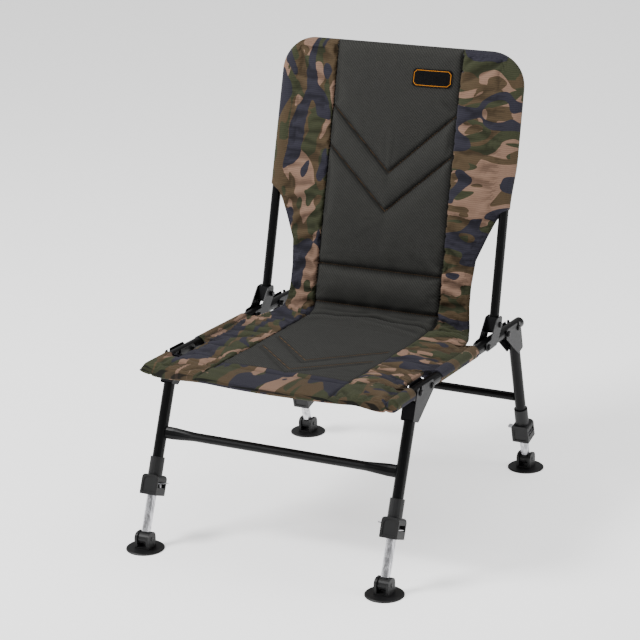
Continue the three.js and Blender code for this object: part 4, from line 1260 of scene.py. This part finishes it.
def add_floor(settings):
    """A wide pale floor with a little light of its own."""
    bpy.ops.object.select_all(action="DESELECT")
    bpy.ops.mesh.primitive_plane_add(size=FLOOR_SIZE, location=(0, 0, FLOOR_Z))
    floor = bpy.context.active_object
    floor.name = "floor"
    finish = Finish("Floor", settings.floor, 0.9)
    speckle = finish.grain(finish.position(), 3, 2.0, 0.5)
    finish.set("Base Color", finish.blend(speckle * 0.02, settings.floor, shade(settings.floor, 0.97)))
    finish.set("Emission Color", (*settings.floor, 1.0))
    finish.set("Emission Strength", settings.glow)
    floor.data.materials.append(finish.material)


def add_surround(settings):
    """Even white light from all round."""
    world = bpy.data.worlds.new("Studio")
    world.use_nodes = True
    background = world.node_tree.nodes["Background"]
    background.inputs["Color"].default_value = (1, 1, 1, 1)
    background.inputs["Strength"].default_value = settings.surround
    bpy.context.scene.world = world


def add_camera():
    """The camera, turned level first, then down, then rolled."""
    camera = bpy.data.objects.new("Camera", bpy.data.cameras.new("Camera"))
    camera.data.lens = CAMERA_LENS
    camera.data.sensor_width = 36
    camera.data.sensor_fit = "HORIZONTAL"
    camera.data.shift_x, camera.data.shift_y = CAMERA_SHIFT
    camera.data.clip_end = 100
    ahead = Vector((-math.sin(CAMERA_YAW) * math.cos(CAMERA_DOWN),
                    math.cos(CAMERA_YAW) * math.cos(CAMERA_DOWN), -math.sin(CAMERA_DOWN)))
    level = Vector((math.cos(CAMERA_YAW), math.sin(CAMERA_YAW), 0))
    upward = level.cross(ahead)
    right = level * math.cos(CAMERA_ROLL) + upward * math.sin(CAMERA_ROLL)
    top = upward * math.cos(CAMERA_ROLL) - level * math.sin(CAMERA_ROLL)
    turned = Matrix((right, top, -ahead)).transposed().to_4x4()
    camera.matrix_world = Matrix.Translation(CAMERA_AT) @ turned
    bpy.context.scene.collection.objects.link(camera)
    bpy.context.scene.camera = camera


class CHAIR_OT_stage(bpy.types.Operator):
    """Sets the pale floor, the soft lights and the camera"""
    bl_idname = "chair.stage"
    bl_label = "Stage"

    def execute(self, context):
        settings = context.scene.chair_stage
        add_floor(settings)
        add_surround(settings)
        for name, place, aim, size, share in LAMPS:
            add_lamp(name, place, aim, size, settings.key * share)
        add_camera()
        return {"FINISHED"}


OPERATORS = (CHAIR_OT_tubes, CHAIR_OT_plates, CHAIR_OT_mouldings, CHAIR_OT_bright, CHAIR_OT_springs,
             CHAIR_OT_cover, CHAIR_OT_patch, CHAIR_OT_stage)
SETTINGS = {"chair_cover": CoverSettings, "chair_frame": FrameSettings, "chair_stage": StageSettings}


class CHAIR_PT_panel(bpy.types.Panel):
    """The chair's pieces and its stage"""
    bl_idname = "CHAIR_PT_panel"
    bl_label = "Fishing chair"
    bl_space_type = "VIEW_3D"
    bl_region_type = "UI"
    bl_category = "Chair"

    def draw(self, context):
        for operator in OPERATORS:
            self.layout.operator(operator.bl_idname)


def register():
    for cls in (*SETTINGS.values(), *OPERATORS, CHAIR_PT_panel):
        bpy.utils.register_class(cls)
    for name, cls in SETTINGS.items():
        setattr(bpy.types.Scene, name, PointerProperty(type=cls))


def unregister():
    for name in SETTINGS:
        delattr(bpy.types.Scene, name)
    for cls in (CHAIR_PT_panel, *reversed(OPERATORS), *SETTINGS.values()):
        bpy.utils.unregister_class(cls)


def main():
    register()
    bpy.ops.chair.stage()
    bpy.ops.chair.tubes()
    bpy.ops.chair.plates()
    bpy.ops.chair.mouldings()
    bpy.ops.chair.bright()
    bpy.ops.chair.springs()
    bpy.ops.chair.cover()
    bpy.ops.chair.patch()


if __name__ == "__main__":
    main()
